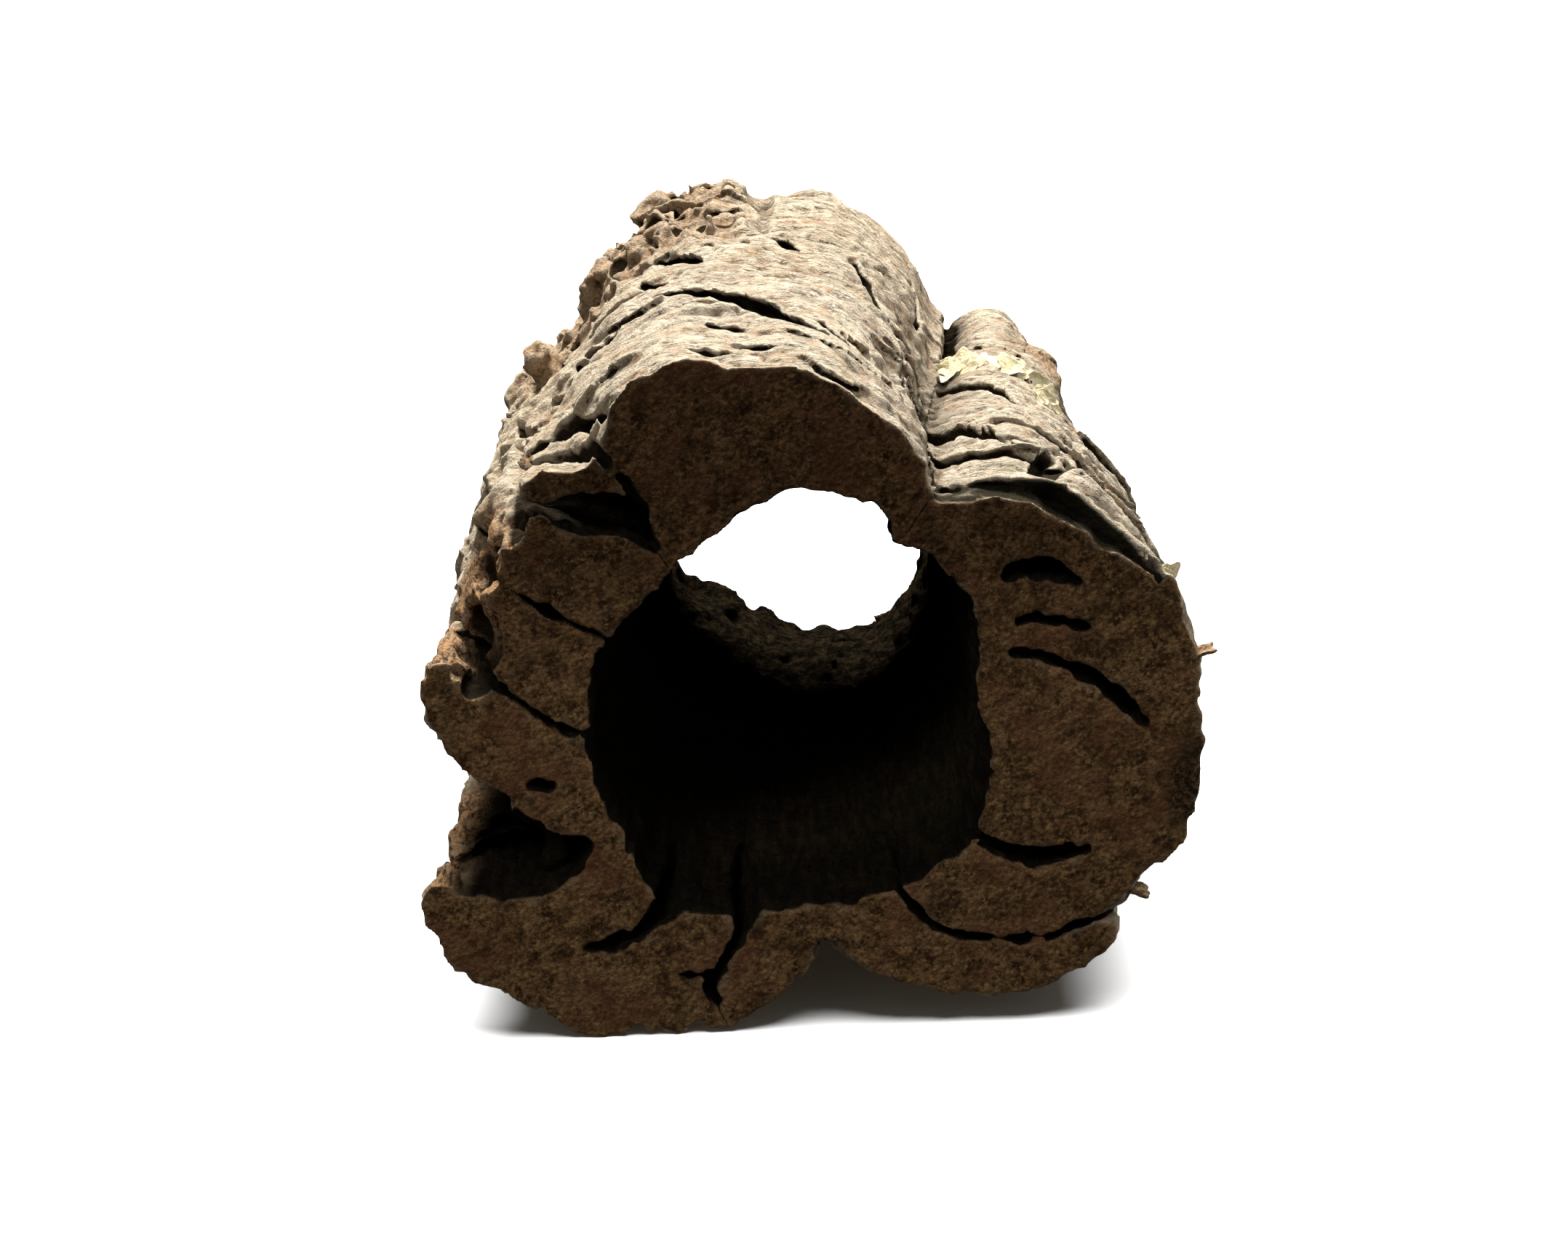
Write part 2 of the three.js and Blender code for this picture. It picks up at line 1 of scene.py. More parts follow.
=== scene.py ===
import json
import math
import time
import bpy
import numpy as np
import openvdb as vdb
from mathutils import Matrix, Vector

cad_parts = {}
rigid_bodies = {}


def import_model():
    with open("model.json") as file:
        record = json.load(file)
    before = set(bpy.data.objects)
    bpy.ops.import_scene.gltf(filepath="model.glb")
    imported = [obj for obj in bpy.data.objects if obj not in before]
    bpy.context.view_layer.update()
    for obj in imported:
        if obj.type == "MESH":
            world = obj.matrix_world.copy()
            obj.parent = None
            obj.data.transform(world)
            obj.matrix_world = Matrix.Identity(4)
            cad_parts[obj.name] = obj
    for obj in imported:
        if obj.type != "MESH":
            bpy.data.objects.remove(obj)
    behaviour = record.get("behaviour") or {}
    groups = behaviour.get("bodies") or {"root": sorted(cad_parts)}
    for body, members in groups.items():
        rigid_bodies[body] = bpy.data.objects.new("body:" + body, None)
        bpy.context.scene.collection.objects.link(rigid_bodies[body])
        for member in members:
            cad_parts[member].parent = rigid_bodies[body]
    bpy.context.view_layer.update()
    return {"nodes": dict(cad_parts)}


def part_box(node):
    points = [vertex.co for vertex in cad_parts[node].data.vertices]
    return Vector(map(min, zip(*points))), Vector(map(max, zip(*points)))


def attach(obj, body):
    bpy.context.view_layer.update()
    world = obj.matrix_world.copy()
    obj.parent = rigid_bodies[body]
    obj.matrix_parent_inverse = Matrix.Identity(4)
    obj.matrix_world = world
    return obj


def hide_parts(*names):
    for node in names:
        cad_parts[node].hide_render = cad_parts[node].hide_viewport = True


startedAt = time.time()
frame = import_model()
mm = 0.001


def say(text):
    print(f"{time.time() - startedAt:6.1f} s  {text}", flush=True)


# the lattice that the bark is grown on; lengths are in mm
block = {
    "step": 0.8,
    "low": (-98, -120, -7),
    "high": (98, 120, 171),
    "reach": 6.8,                  # distances are kept this far from a surface
    "band": 5.2,                   # bark detail is worked out this far from it
    "seamFill": 0.45,              # fissures thinner than twice this are unbroken cork
    "overlap": 0.1,                # how far neighbouring slabs run into each other
    "carriedOn": 14,               # how far slabs are lengthened past the saw cuts
}
frontCut = {"y": -105.42, "slope": 0.08749}
backCut = {"y": 108.50, "slope": -0.0524}
pith = (-2.0, 80.0)                # x and z of the line down the middle of the hollow
slabNames = ["crown_slab", "upper_left_slab", "mid_left_slab", "lower_left_slab", "bottom_slab", "right_slab"]
grownNames = ["left_knob", "right_knob", "notch_curl", "notch_stub"]
mostTriangles = 190000

step = block["step"]
lowIndex = tuple(int(math.floor(v / step)) for v in block["low"])
highIndex = tuple(int(math.ceil(v / step)) for v in block["high"])
shape = tuple(h - l + 1 for l, h in zip(lowIndex, highIndex))
axisX, axisY, axisZ = (np.arange(l, l + n, dtype=np.float32) * step for l, n in zip(lowIndex, shape))
reach = block["reach"]
say(f"lattice {shape}")


# distance in front of the front saw cut, and behind the back one; both are negative inside the round
def beyondFront(x, y):
    return (frontCut["y"] + frontCut["slope"] * x - y) / math.hypot(1, frontCut["slope"])


def beyondBack(x, y):
    return (y - backCut["y"] - backCut["slope"] * x) / math.hypot(1, backCut["slope"])


def nodeSurface(name):
    mesh = frame["nodes"][name].data
    co = np.empty(len(mesh.vertices) * 3, np.float32)
    mesh.vertices.foreach_get("co", co)
    mesh.calc_loop_triangles()
    tris = np.empty(len(mesh.loop_triangles) * 3, np.int32)
    mesh.loop_triangles.foreach_get("vertices", tris)
    points, same = np.unique(np.round(co.reshape(-1, 3) * 1000, 3), axis=0, return_inverse=True)
    return points.astype(np.float32), same.reshape(-1)[tris].reshape(-1, 3).astype(np.int32)


# a slab carried straight on past both saw cuts, so the distances to its skin stay true right up to them
def lengthened(points, tris):
    for way, beyond in ((-1, beyondFront), (1, beyondBack)):
        count = len(points)
        onCut = np.abs(beyond(points[:, 0], points[:, 1])) < 0.05
        cap = onCut[tris].all(1)
        edges = np.concatenate([tris[cap][:, [0, 1]], tris[cap][:, [1, 2]], tris[cap][:, [2, 0]]]).astype(np.int64)
        key = edges[:, 0] * count + edges[:, 1]
        back = edges[:, 1] * count + edges[:, 0]
        rim = edges[~np.isin(key, back)]
        points = np.concatenate([points, points + np.array([0, block["carriedOn"] * way, 0], np.float32)])
        a, b = rim[:, 0], rim[:, 1]
        walls = np.concatenate([np.stack([a, b, b + count], 1), np.stack([a, b + count, a + count], 1)])
        tris = np.concatenate([tris[~cap], tris[cap] + count, walls]).astype(np.int32)
    return points, tris


def distanceField(points, tris, quads=None):
    grid = vdb.FloatGrid.createLevelSetFromPolygons(
        points, triangles=tris, quads=quads, transform=vdb.createLinearTransform(step), halfWidth=reach / step)
    dense = np.full(shape, reach, np.float32)
    grid.copyToArray(dense, ijk=lowIndex)
    return dense


def polygons(dense, low):
    grid = vdb.FloatGrid(float(dense.max()))
    grid.copyFromArray(dense, ijk=low)
    grid.transform = vdb.createLinearTransform(step)
    return grid.convertToPolygons(isovalue=0, adaptivity=0.0)


barkNames = slabNames + grownNames
slabDistance = [distanceField(*lengthened(*nodeSurface(name))) for name in barkNames]
nearest = np.full(shape, reach, np.float32)
second = np.full(shape, reach, np.float32)
owner = np.zeros(shape, np.uint8)
for index, d in enumerate(slabDistance):
    closer = d < nearest
    second = np.where(closer, nearest, np.minimum(second, d))
    nearest = np.where(closer, d, nearest)
    owner[closer] = index
say("slab distances")

whole = np.minimum(nearest, 0.5 * (nearest + second) - block["seamFill"])
# the groove between the crown and the right slab is bridged: the smaller distance less k/4 (1 - gap/k)^2
gx, gy, gz = np.meshgrid(axisX, axisY, axisZ, indexing="ij", sparse=True)
bridge = {"reach": 7.0, "left": 18, "right": 44, "above": 116}
close = (np.clip(1 - (second - nearest) / bridge["reach"], 0, 1)
         * ((gx > bridge["left"]) & (gx < bridge["right"]) & (gz > bridge["above"])))
whole -= (close ** 2 * bridge["reach"] / 4 * (nearest > -1)).astype(np.float32)
# the knobs grow out of the slabs by the same join; the left one is drawn in first and the right one swelled
knobJoin = {"reach": 8.0, "leftLess": 3.0, "rightMore": 0.6}
leftKnob, rightKnob = (slabDistance[barkNames.index(name)] for name in ("left_knob", "right_knob"))
knobs = np.minimum(leftKnob + knobJoin["leftLess"], rightKnob - knobJoin["rightMore"])
bases = np.minimum.reduce(slabDistance[:len(slabNames)])
onGrown = owner >= len(slabNames)
onLoose = owner >= barkNames.index("notch_curl")
whole = np.where(onGrown, np.minimum(np.where(onLoose, nearest, knobs), bases), whole)
close = np.clip(1 - np.abs(knobs - bases) / knobJoin["reach"], 0, 1) * (np.minimum(knobs, bases) < 4)
whole = (whole - close ** 2 * knobJoin["reach"] / 4).astype(np.float32)
points, tris, quads = polygons(whole, lowIndex)
whole = distanceField(points, tris, quads)
say("one body, hairlines closed")

# smooth random fields
lattice = np.random.default_rng(7).random((64, 64, 64), dtype=np.float32) * 2 - 1


# value noise: random numbers at whole steps of size, joined by 3t^2-2t^3 along each axis
def rough(place, size, shift=0.0):
    size = size if isinstance(size, tuple) else (size,) * 3
    corners, parts = [], []
    for c, s in zip(place, size):
        q = c / np.float32(s) + np.float32(shift + 17.3)
        i = np.floor(q)
        t = q - i
        corners.append(i.astype(np.int32))
        parts.append(t * t * (3 - 2 * t))
    x0, y0, z0 = (c & 63 for c in corners)
    x1, y1, z1 = ((c + 1) & 63 for c in corners)
    u, v, w = parts
    flat = lattice.reshape(-1)

    def row(xi):
        a, b = (xi * 64 + y0) * 64, (xi * 64 + y1) * 64
        p = flat[a + z0]
        p = p + (flat[a + z1] - p) * w
        q = flat[b + z0]
        q = q + (flat[b + z1] - q) * w
        return p + (q - p) * v

    p = row(x0)
    return p + (row(x1) - p) * u


def ease(low, high, value):       # 0 below low, 1 above high, 3t^2-2t^3 between
    t = np.clip((value - low) / (high - low), 0, 1)
    return t * t * (3 - 2 * t)


# how far out the skin and the hollow lie, by angle round the pith and by length
rounds = {"angles": 240, "radius": 116, "radialStep": 0.8, "from": -118, "to": 119, "alongStep": 2.0}


def smoothOver(table, angleReach, alongReach):
    out = np.zeros_like(table)
    for k in range(-angleReach, angleReach + 1):
        out += np.roll(table, k, 0)
    table = out / (2 * angleReach + 1)
    padded = np.pad(table, ((0, 0), (alongReach, alongReach)), mode="edge")
    return sum(padded[:, k:k + table.shape[1]] for k in range(2 * alongReach + 1)) / (2 * alongReach + 1)


def envelopes():
    turn = np.linspace(-math.pi, math.pi, rounds["angles"], endpoint=False)
    along = np.arange(rounds["from"], rounds["to"], rounds["alongStep"])
    radius = np.arange(4, rounds["radius"], rounds["radialStep"])
    t, a, r = np.meshgrid(turn, along, radius, indexing="ij")
    x, z = pith[0] + r * np.sin(t), pith[1] + r * np.cos(t)
    i = np.clip(np.rint(x / step).astype(int) - lowIndex[0], 0, shape[0] - 1)
    j = np.clip(np.rint(a / step).astype(int) - lowIndex[1], 0, shape[1] - 1)
    k = np.clip(np.rint(z / step).astype(int) - lowIndex[2], 0, shape[2] - 1)
    inside = whole[i, j, k] < 0
    outer = np.where(inside, r, 0).max(2)
    inner = np.where(inside, r, 400).min(2)
    outer = np.max([np.roll(outer, s, 0) for s in range(-3, 4)], 0)
    inner = np.min([np.roll(inner, s, 0) for s in range(-3, 4)], 0)
    return smoothOver(outer, 3, 2), smoothOver(inner, 3, 2)


skinRadius, hollowRadius = envelopes()


def lookRound(table, turn, along):        # straight-line reading of such a table
    u = (turn + math.pi) / (2 * math.pi) * rounds["angles"]
    v = np.clip((along - rounds["from"]) / rounds["alongStep"], 0, table.shape[1] - 1.001)
    i, j = np.floor(u).astype(int), np.floor(v).astype(int)
    fu, fv = u - i, v - j
    i0, i1 = i % rounds["angles"], (i + 1) % rounds["angles"]
    return ((table[i0, j] * (1 - fu) + table[i1, j] * fu) * (1 - fv)
            + (table[i0, j + 1] * (1 - fu) + table[i1, j + 1] * fu) * fv)


say("skin and hollow envelopes")

# bark relief
band = np.flatnonzero(np.abs(whole.reshape(-1)) < block["band"])
bi, rest = np.divmod(band, shape[1] * shape[2])
bj, bk = np.divmod(rest, shape[2])
x, y, z = axisX[bi], axisY[bj], axisZ[bk]
depth = whole.reshape(-1)[band]           # 0 on the plain surface, negative inside
turn = np.arctan2(x - pith[0], z - pith[1])
radius = np.hypot(x - pith[0], z - pith[1])
girth = turn * 85                         # mm round the round, 0 at the top, positive to the right
belowSkin = lookRound(skinRadius, turn, y).astype(np.float32) - radius
aboveHollow = radius - lookRound(hollowRadius, turn, y).astype(np.float32)
skin = 1 - ease(4, 12, belowSkin)
hollow = (1 - ease(3, 10, aboveHollow)) * (1 - skin)
place = (x, y, z)
say(f"{len(band)} places near the surface")

barkRelief = {
    "wrinkle": 1.3,        # ridges across the round
    "fineWrinkle": 0.55,
    "plate": 2.5,          # overlapping plates
    "crease": 2.4,
    "fineCrease": 1.2,
    "lump": 1.1,
    "grit": 0.45,
    "pit": 3.2,
    "hole": 3.6,
    "leftLump": 2.6,
    "knob": 4.2,
    "fibre": 0.9,
}
degrees = np.degrees(turn)
# 1 on the spongy left flank, 0 on the smooth crown and right lobe
spongy = ease(-28, -48, degrees) * ease(-176, -160, degrees)
# 1 on the knotted far end of the crown's left half
knotted = ease(22, 50, y + 8 * rough(place, 16, 3.1)) * ease(-6, -16, degrees) * ease(-75, -50, degrees)
rightSide = ease(8, 24, degrees)
calm = 1 - 0.6 * rightSide * ease(35, 60, y)

drift = 5.0 * rough(place, 27, 1.7) + 1.5 * rough(place, 8.5, 5.2)
across = y + drift
ridge = rough((girth, across, radius), (34, 6.6, 60), 2.4)
fine = rough((girth, across, radius), (13, 2.5, 30), 9.1)
# plates: height = 1 - frac(place along the round), read further forward where it is higher, so the lips overhang
march = (y + 0.75 * depth + 1.6 * drift) / 15.0 + 1.1 * rough((girth, y, radius), (46, 40, 60), 6.6)
saw = 1 - (march - np.floor(march))
plateHere = ease(0.0, 0.5, rough((girth, y, radius), (30, 17, 60), 4.4))
relief = barkRelief["wrinkle"] * ridge * (1 - 0.6 * spongy) * (1 + 0.25 * rightSide)
relief += barkRelief["fineWrinkle"] * fine * (1 - 0.5 * spongy)
relief += barkRelief["plate"] * (saw ** 1.6 - 0.35) * plateHere * (1 - 0.55 * spongy)
crease = rough((girth, across - 0.5 * depth, radius), (27, 6.2, 40), 12.3)
creaseHere = ease(-0.15, 0.35, rough(place, 21, 8.8))
relief -= barkRelief["crease"] * (1 - ease(0.02, 0.24, np.abs(crease))) * creaseHere * (1 - 0.4 * spongy)
crease = rough((girth, across, radius), (12, 3.4, 20), 17.9)
creaseHere = ease(-0.05, 0.5, rough(place, 12, 28.8))
relief -= barkRelief["fineCrease"] * (1 - ease(0.03, 0.30, np.abs(crease))) * creaseHere * (1 - 0.4 * spongy)
lump = rough(place, 13, 3.3)
relief += (barkRelief["lump"] + barkRelief["leftLump"] * spongy * 0.6 + barkRelief["knob"] * knotted * 0.6) * lump
medium = rough(place, 5.2, 7.7)
relief += (0.45 + 1.05 * spongy + 2.3 * knotted) * medium
say("ridges and plates")
grit = rough(place, 2.3, 0.9)
relief += (barkRelief["grit"] + 0.25 * rightSide + 0.45 * spongy + 0.8 * knotted) * grit
pitWhere = rough(place, (5.0, 4.2, 4.4), 11.9)
pitFew = rough(place, 17, 14.2)
pitty = np.clip(0.75 * spongy + knotted, 0, 1)
relief -= barkRelief["pit"] * ease(0.30, 0.62, pitWhere) * pitty * ease(-0.35, 0.25, pitFew)
relief -= 1.0 * ease(0.42, 0.7, pitWhere) * (1 - pitty) * ease(0.2, 0.6, pitFew)
hole = rough(place, (9.5, 8.0, 8.0), 21.4)
relief -= (barkRelief["hole"] * ease(0.50, 0.68, hole) * np.clip(0.8 * spongy + 1.1 * knotted, 0, 1)
           * ease(-3, -9, beyondFront(x, y)))
height = relief * skin * calm

fibres = rough((girth, y + 3 * lump, radius), (3.4, 38, 9), 2.9)
mossy = ease(10, 60, y) * ease(75, 105, np.abs(degrees))
height += hollow * (barkRelief["fibre"] * fibres * (1 - 0.7 * mossy) + 1.1 * lump
                    + (0.8 + 1.6 * mossy) * medium + (0.5 + 0.5 * mossy) * grit)
inWall = np.clip(1 - skin - hollow, 0, 1)      # the walls of fissures, between skin and hollow
height += inWall * (0.5 * lump + 0.8 * medium + 0.9 * grit)
say("pits and fibres")

# cracks, slots and dents made one by one
# points x, y, z with the opening's width; lean carries the slot backward as it goes in
cracks = {
    "crown crack": {"deep": 8.0, "lean": 1.1, "line": [
        (-38, -22, 160, 1.4), (-28, -26, 163, 4.6), (-20, -32, 163, 6.6), (-14, -43, 163, 7.4),
        (-9, -53, 163, 7.0), (-4, -61, 162, 7.0), (3, -66, 161, 2.6)]},
    "crown crack left": {"deep": 4.0, "lean": 1.0, "line": [
        (-40, -30, 159, 1.6), (-34, -37, 162, 3.6), (-29, -41, 163, 1.4)]},
    "crown nick": {"deep": 5.0, "lean": 0.6, "line": [(3, -54, 161, 2.4), (8, -60, 159, 4.4)]},
    "shoulder": {"deep": 6.0, "lean": 0.0, "line": [
        (29, 76, 143, 1.6), (31, 68, 141, 4.4), (31, 54, 140, 3.8), (30, 36, 139, 1.2)]},
    "shoulder low": {"deep": 3.0, "lean": 0.0, "line": [
        (24, -20, 145, 1.0), (24, -34, 144, 2.2), (25, -56, 142, 1.6)]},
    "lens": {"deep": 3.0, "lean": 0.8, "line": [
        (-25, -65, 163, 1.2), (-20, -68, 163, 5.0), (-15, -69, 163, 1.0)]},
    "thin left": {"deep": 3.5, "lean": 0.9, "line": [
        (-28, -91, 163, 1.0), (-23, -92, 163, 3.6), (-18, -90, 162, 1.0)]},
    "thin right": {"deep": 3.2, "lean": 0.9, "line": [
        (-17, -86, 162, 1.0), (-12, -88, 163, 3.4), (-7, -89, 163, 1.0)]},
    "far slit": {"deep": 7.0, "lean": 0.8, "line": [
        (-40, 31, 158, 2.5), (-34, 20, 161, 7.0), (-29, 11, 162, 4.0)]},
    "mid slit": {"deep": 5.0, "lean": 0.8, "line": [
        (-43, 7, 157, 1.6), (-38, -3, 159, 4.6), (-35, -9, 160, 1.6)]},
    "far pit": {"deep": 4.0, "lean": 0.5, "line": [(-9, 40, 163, 3.0), (-4, 28, 162, 5.0)]},
    "far right pit": {"deep": 4.0, "lean": 0.3, "line": [
        (12, 30, 157, 3.0), (15, 20, 155, 3.6), (20, 4, 152, 1.5)]},
    "right upper arc": {"deep": 10.0, "lean": 1.0, "line": [
        (25, -34, 123, 2.6), (29, -38, 126, 4.4), (34, -44, 130, 5.2), (40, -50, 133, 4.6),
        (46, -58, 134, 3.6), (49, -65, 134, 2.0)]},
    "right lower arc": {"deep": 9.0, "lean": 1.0, "line": [
        (28, -70, 125, 2.0), (33, -73, 129, 4.4), (38, -75, 132, 5.2), (44, -77, 133, 4.4),
        (50, -79, 133, 4.0), (54, -81, 132, 4.0)]},
    "right far ledge": {"deep": 5.0, "lean": 1.0, "line": [
        (34, 14, 126, 1.8), (42, 6, 131, 4.6), (48, -1, 132, 4.6), (51, -8, 132, 4.0),
        (54, -18, 131, 1.8)]},
    "slot": {"deep": 11.0, "lean": 0.0, "line": [
        (58, -62, 130, 3.0), (57, -70, 131, 5.0), (56, -80, 132, 6.4), (54, -88, 132, 6.0)]},
    "right flank": {"deep": 5.0, "lean": 0.6, "line": [
        (58, -74, 130, 2.4), (66, -62, 125, 4.4), (71, -52, 119, 2.0)]},
    "left slit high": {"deep": 11.0, "lean": 0.4, "line": [
        (-70, -84, 131, 1.6), (-63, -81, 138, 4.4), (-56, -85, 144, 5.2), (-50, -94, 149, 4.8),
        (-46, -103, 152, 3.0)]},
    "left slit low": {"deep": 11.0, "lean": 0.2, "line": [
        (-70, -88, 129, 2.0), (-63, -90, 136, 4.6), (-57, -95, 140, 5.0), (-51, -101, 143, 4.0),
        (-48, -110, 145, 2.6)]},
    "left hole pair": {"deep": 6.0, "lean": 0.5, "line": [
        (-52, -36, 149, 4.0), (-48, -34, 153, 3.6), (-45, -29, 156, 2.0)]},
}
valleys = [                                # centre, half-widths; worn smooth and as pale as the rind
    ((-12, 60, 167), (4.5, 18, 8)),
    ((-12, 95, 167), (5.0, 26, 9)),
    ((-28, 84, 166), (5, 7, 5)),
]
dents = [                                  # centre, half-widths; freshly broken, and darkened by painted shade as deep as they go
    ((-66, 70, 128), (7.5, 9, 8)),
    ((-31, 60, 163), (6, 9, 5)),
    ((-22, 58, 165), (4, 6, 4)),
    ((-50, 92, 154), (6, 8, 6)),
    ((-43, 78, 160), (4, 6, 4)),
    ((-52, 60, 152), (5, 7, 5)),
    ((-73, -96, 112), (6.5, 12, 6.0)),
    ((-68, -101, 115), (4, 8, 4)),
    ((-77, -97, 97), (5.0, 8, 7.5)),
    ((-76, -110, 90), (3.6, 7, 4.0)),
    ((-82, -60, 104), (6, 8, 6)),
    ((-80, -30, 110), (5, 7, 5)),
]


# a crack: half its width, less towards its floor, minus the distance from its leaning middle sheet
def cut(field, crack):
    line = np.array(crack["line"], np.float32)
    spot = line[:, :3]
    near = ((x > spot[:, 0].min() - 12) & (x < spot[:, 0].max() + 12) & (y > spot[:, 1].min() - 14)
            & (y < spot[:, 1].max() + 14) & (z > spot[:, 2].min() - 12) & (z < spot[:, 2].max() + 8))
    at = np.flatnonzero(near)
    if not len(at):
        return
    here = np.stack([x[at], y[at], z[at]], 1)
    jagged = 0.9 * rough(here.T, 1.9, 35.0)
    warp = [0.9 * rough(here.T, 4.1, 31.0), 1.1 * rough(here.T, 3.3, 33.0) + jagged, 0.5 * rough(here.T, 4.1, 37.0)]
    here = here + np.stack(warp, 1)
    best = np.full(len(at), 1e9, np.float32)
    for a, b, wa, wb in zip(spot[:-1], spot[1:], line[:-1, 3], line[1:, 3]):
        along = b - a
        out = np.array([a[0] + b[0] - 2 * pith[0], 0, a[2] + b[2] - 2 * pith[1]])
        out /= np.linalg.norm(out)
        side = np.cross(out, along / np.linalg.norm(along))
        side /= np.linalg.norm(side)
        if side[1] < 0:
            side = -side
        t = np.clip((here - a) @ along / (along @ along), 0, 1)
        q = here - a - t[:, None] * along
        inward = -depth[at]
        sheet = q @ side - crack["lean"] * np.clip(inward, -3, None)
        past = q @ (along / np.linalg.norm(along))
        gap = np.hypot(sheet, past)
        half = 0.5 * (wa + (wb - wa) * t) * np.clip(1.15 - inward / crack["deep"], 0, 1.3)
        better = gap - half < best
        best[better] = (gap - half)[better]
    field[at] = np.maximum(field[at], -best)


# a dent: an egg of the given half-widths, its outline pushed about by up to 1.3 mm
def hollowOut(field, centre, halves):
    at = np.flatnonzero((np.abs(x - centre[0]) < halves[0] * 1.6) & (np.abs(y - centre[1]) < halves[1] * 1.6)
                        & (np.abs(z - centre[2]) < halves[2] * 1.6))
    here = (x[at], y[at], z[at])
    q = [(c - o + 1.3 * rough(here, 5.5, 40.0 + n)) / h for n, (c, o, h) in enumerate(zip(here, centre, halves))]
    field[at] = np.maximum(field[at], (1 - np.sqrt(q[0] ** 2 + q[1] ** 2 + q[2] ** 2)) * min(halves))


surface = depth - height
for centre, halves in valleys:
    hollowOut(surface, centre, halves)
uncut = np.where(whole < 0, -reach, reach).astype(np.float32)
uncut.reshape(-1)[band] = surface
for crack in cracks.values():
    cut(surface, crack)
for centre, halves in dents:
    hollowOut(surface, centre, halves)
say("cracks and dents")

# the right slab's front rim is broken away: an uneven shelf, lengths in mm, between the two angles
rim = {"down": 5.6, "back": 5.0, "from": (22, 32), "to": (72, 60)}
rimPart = ease(*rim["from"], degrees) * ease(*rim["to"], degrees)
rimDown = rim["down"] * rimPart + 1.5 * rough(place, 6.5, 61.0) + 0.7 * medium + 0.8 * grit
rimBack = rim["back"] * rimPart + 1.8 * rough(place, 7.5, 63.0) + 0.8 * medium
onRight = owner.reshape(-1)[band] == slabNames.index("right_slab")
shelf = np.minimum(rimDown + 1.2 - belowSkin, rimBack + 0.6 * belowSkin + beyondFront(x, y))
surface = np.where(onRight & (rimPart > 0.05), np.maximum(surface, shelf), surface)

# the saw cuts, a little rough, and the level floor it rests on
sawn = {"roughness": 0.3}
bite = sawn["roughness"] * (rough(place, 2.1, 50.0) + 0.6 * rough(place, 5.0, 53.0))
surface = np.maximum(surface, beyondFront(x, y) + bite)
surface = np.maximum(surface, beyondBack(x, y) + bite)
surface = np.maximum(surface, -z)
carved = np.where(whole < 0, -reach, reach).astype(np.float32)
carved.reshape(-1)[band] = surface
carved = np.maximum(carved, beyondFront(gx, gy))
carved = np.maximum(carved, beyondBack(gx, gy))
carved = np.maximum(carved, -gz)
say("saw cuts")


# how sheltered a place is: the share of cork in a box around it
def blurred(values, reachMm):
    n = max(1, int(round(reachMm / step)))
    for axis in range(3):
        total = np.cumsum(values, axis=axis, dtype=np.float32)
        size = values.shape[axis]
        hi = np.minimum(np.arange(size) + n, size - 1)
        lo = np.arange(size) - n - 1
        upper = np.take(total, hi, axis=axis)
        lower = np.take(total, np.maximum(lo, 0), axis=axis)
        cutOff = [None, None, None]
        cutOff[axis] = slice(None)
        lower = lower * (lo >= 0).astype(np.float32)[tuple(cutOff)]
        values = (upper - lower) / (2 * n + 1)
    return values


cork = (carved < 0).astype(np.float32)
closeShelter = blurred(blurred(cork, 1.2), 1.2)
wideShelter = blurred(blurred(cork, 3.6), 3.6)
say("shelter")


def readAt(dense, points):                 # straight-line reading of the lattice
    q = points / step - np.array(lowIndex, np.float32)
    i = np.clip(np.floor(q).astype(np.int32), 0, np.array(shape) - 2)
    f = (q - i).astype(np.float32)
    flat = dense.reshape(-1)
    at = (i[:, 0] * shape[1] + i[:, 1]) * shape[2] + i[:, 2]
    sx, sy = shape[1] * shape[2], shape[2]
    fx, fy, fz = f.T

    def edge(o):
        a = flat[at + o]
        return a + (flat[at + o + 1] - a) * fz

    near = edge(0) + (edge(sy) - edge(0)) * fy
    far = edge(sx) + (edge(sx + sy) - edge(sx)) * fy
    return near + (far - near) * fx


def keepMain(points, faces, fewest=400):   # drops crumbs of fewer faces that hang in the air
    label = np.arange(len(points))
    edges = np.concatenate([faces[:, [k, (k + 1) % faces.shape[1]]] for k in range(faces.shape[1])])
    for _ in range(200):
        low = np.minimum(label[edges[:, 0]], label[edges[:, 1]])
        new = label.copy()
        np.minimum.at(new, edges[:, 0], low)
        np.minimum.at(new, edges[:, 1], low)
        new = new[new]
        new = new[new]
        if (new == label).all():
            break
        label = new
    count = np.bincount(label[faces[:, 0]], minlength=len(points))
    faces = faces[count[label[faces[:, 0]]] >= fewest]
    used = np.unique(faces)
    fresh = np.zeros(len(points), np.int32)
    fresh[used] = np.arange(len(used))
    return points[used], fresh[faces]


def newObject(name, points, faces, smooth=True):    # points in mm, faces as one array of rows
    mesh = bpy.data.meshes.new(name)
    faces = np.asarray(faces, np.int32)
    corners = faces.shape[1]
    mesh.vertices.add(len(points))
    mesh.vertices.foreach_set("co", (np.asarray(points, np.float32) * mm).reshape(-1))
    mesh.loops.add(faces.size)
    mesh.loops.foreach_set("vertex_index", faces.reshape(-1))
    mesh.polygons.add(len(faces))
    mesh.polygons.foreach_set("loop_start", np.arange(0, faces.size, corners, dtype=np.int32))
    mesh.polygons.foreach_set("use_smooth", np.full(len(faces), smooth))
    mesh.update(calc_edges=True)
    mesh.validate()
    obj = bpy.data.objects.new(name, mesh)
    bpy.context.scene.collection.objects.link(obj)
    return obj


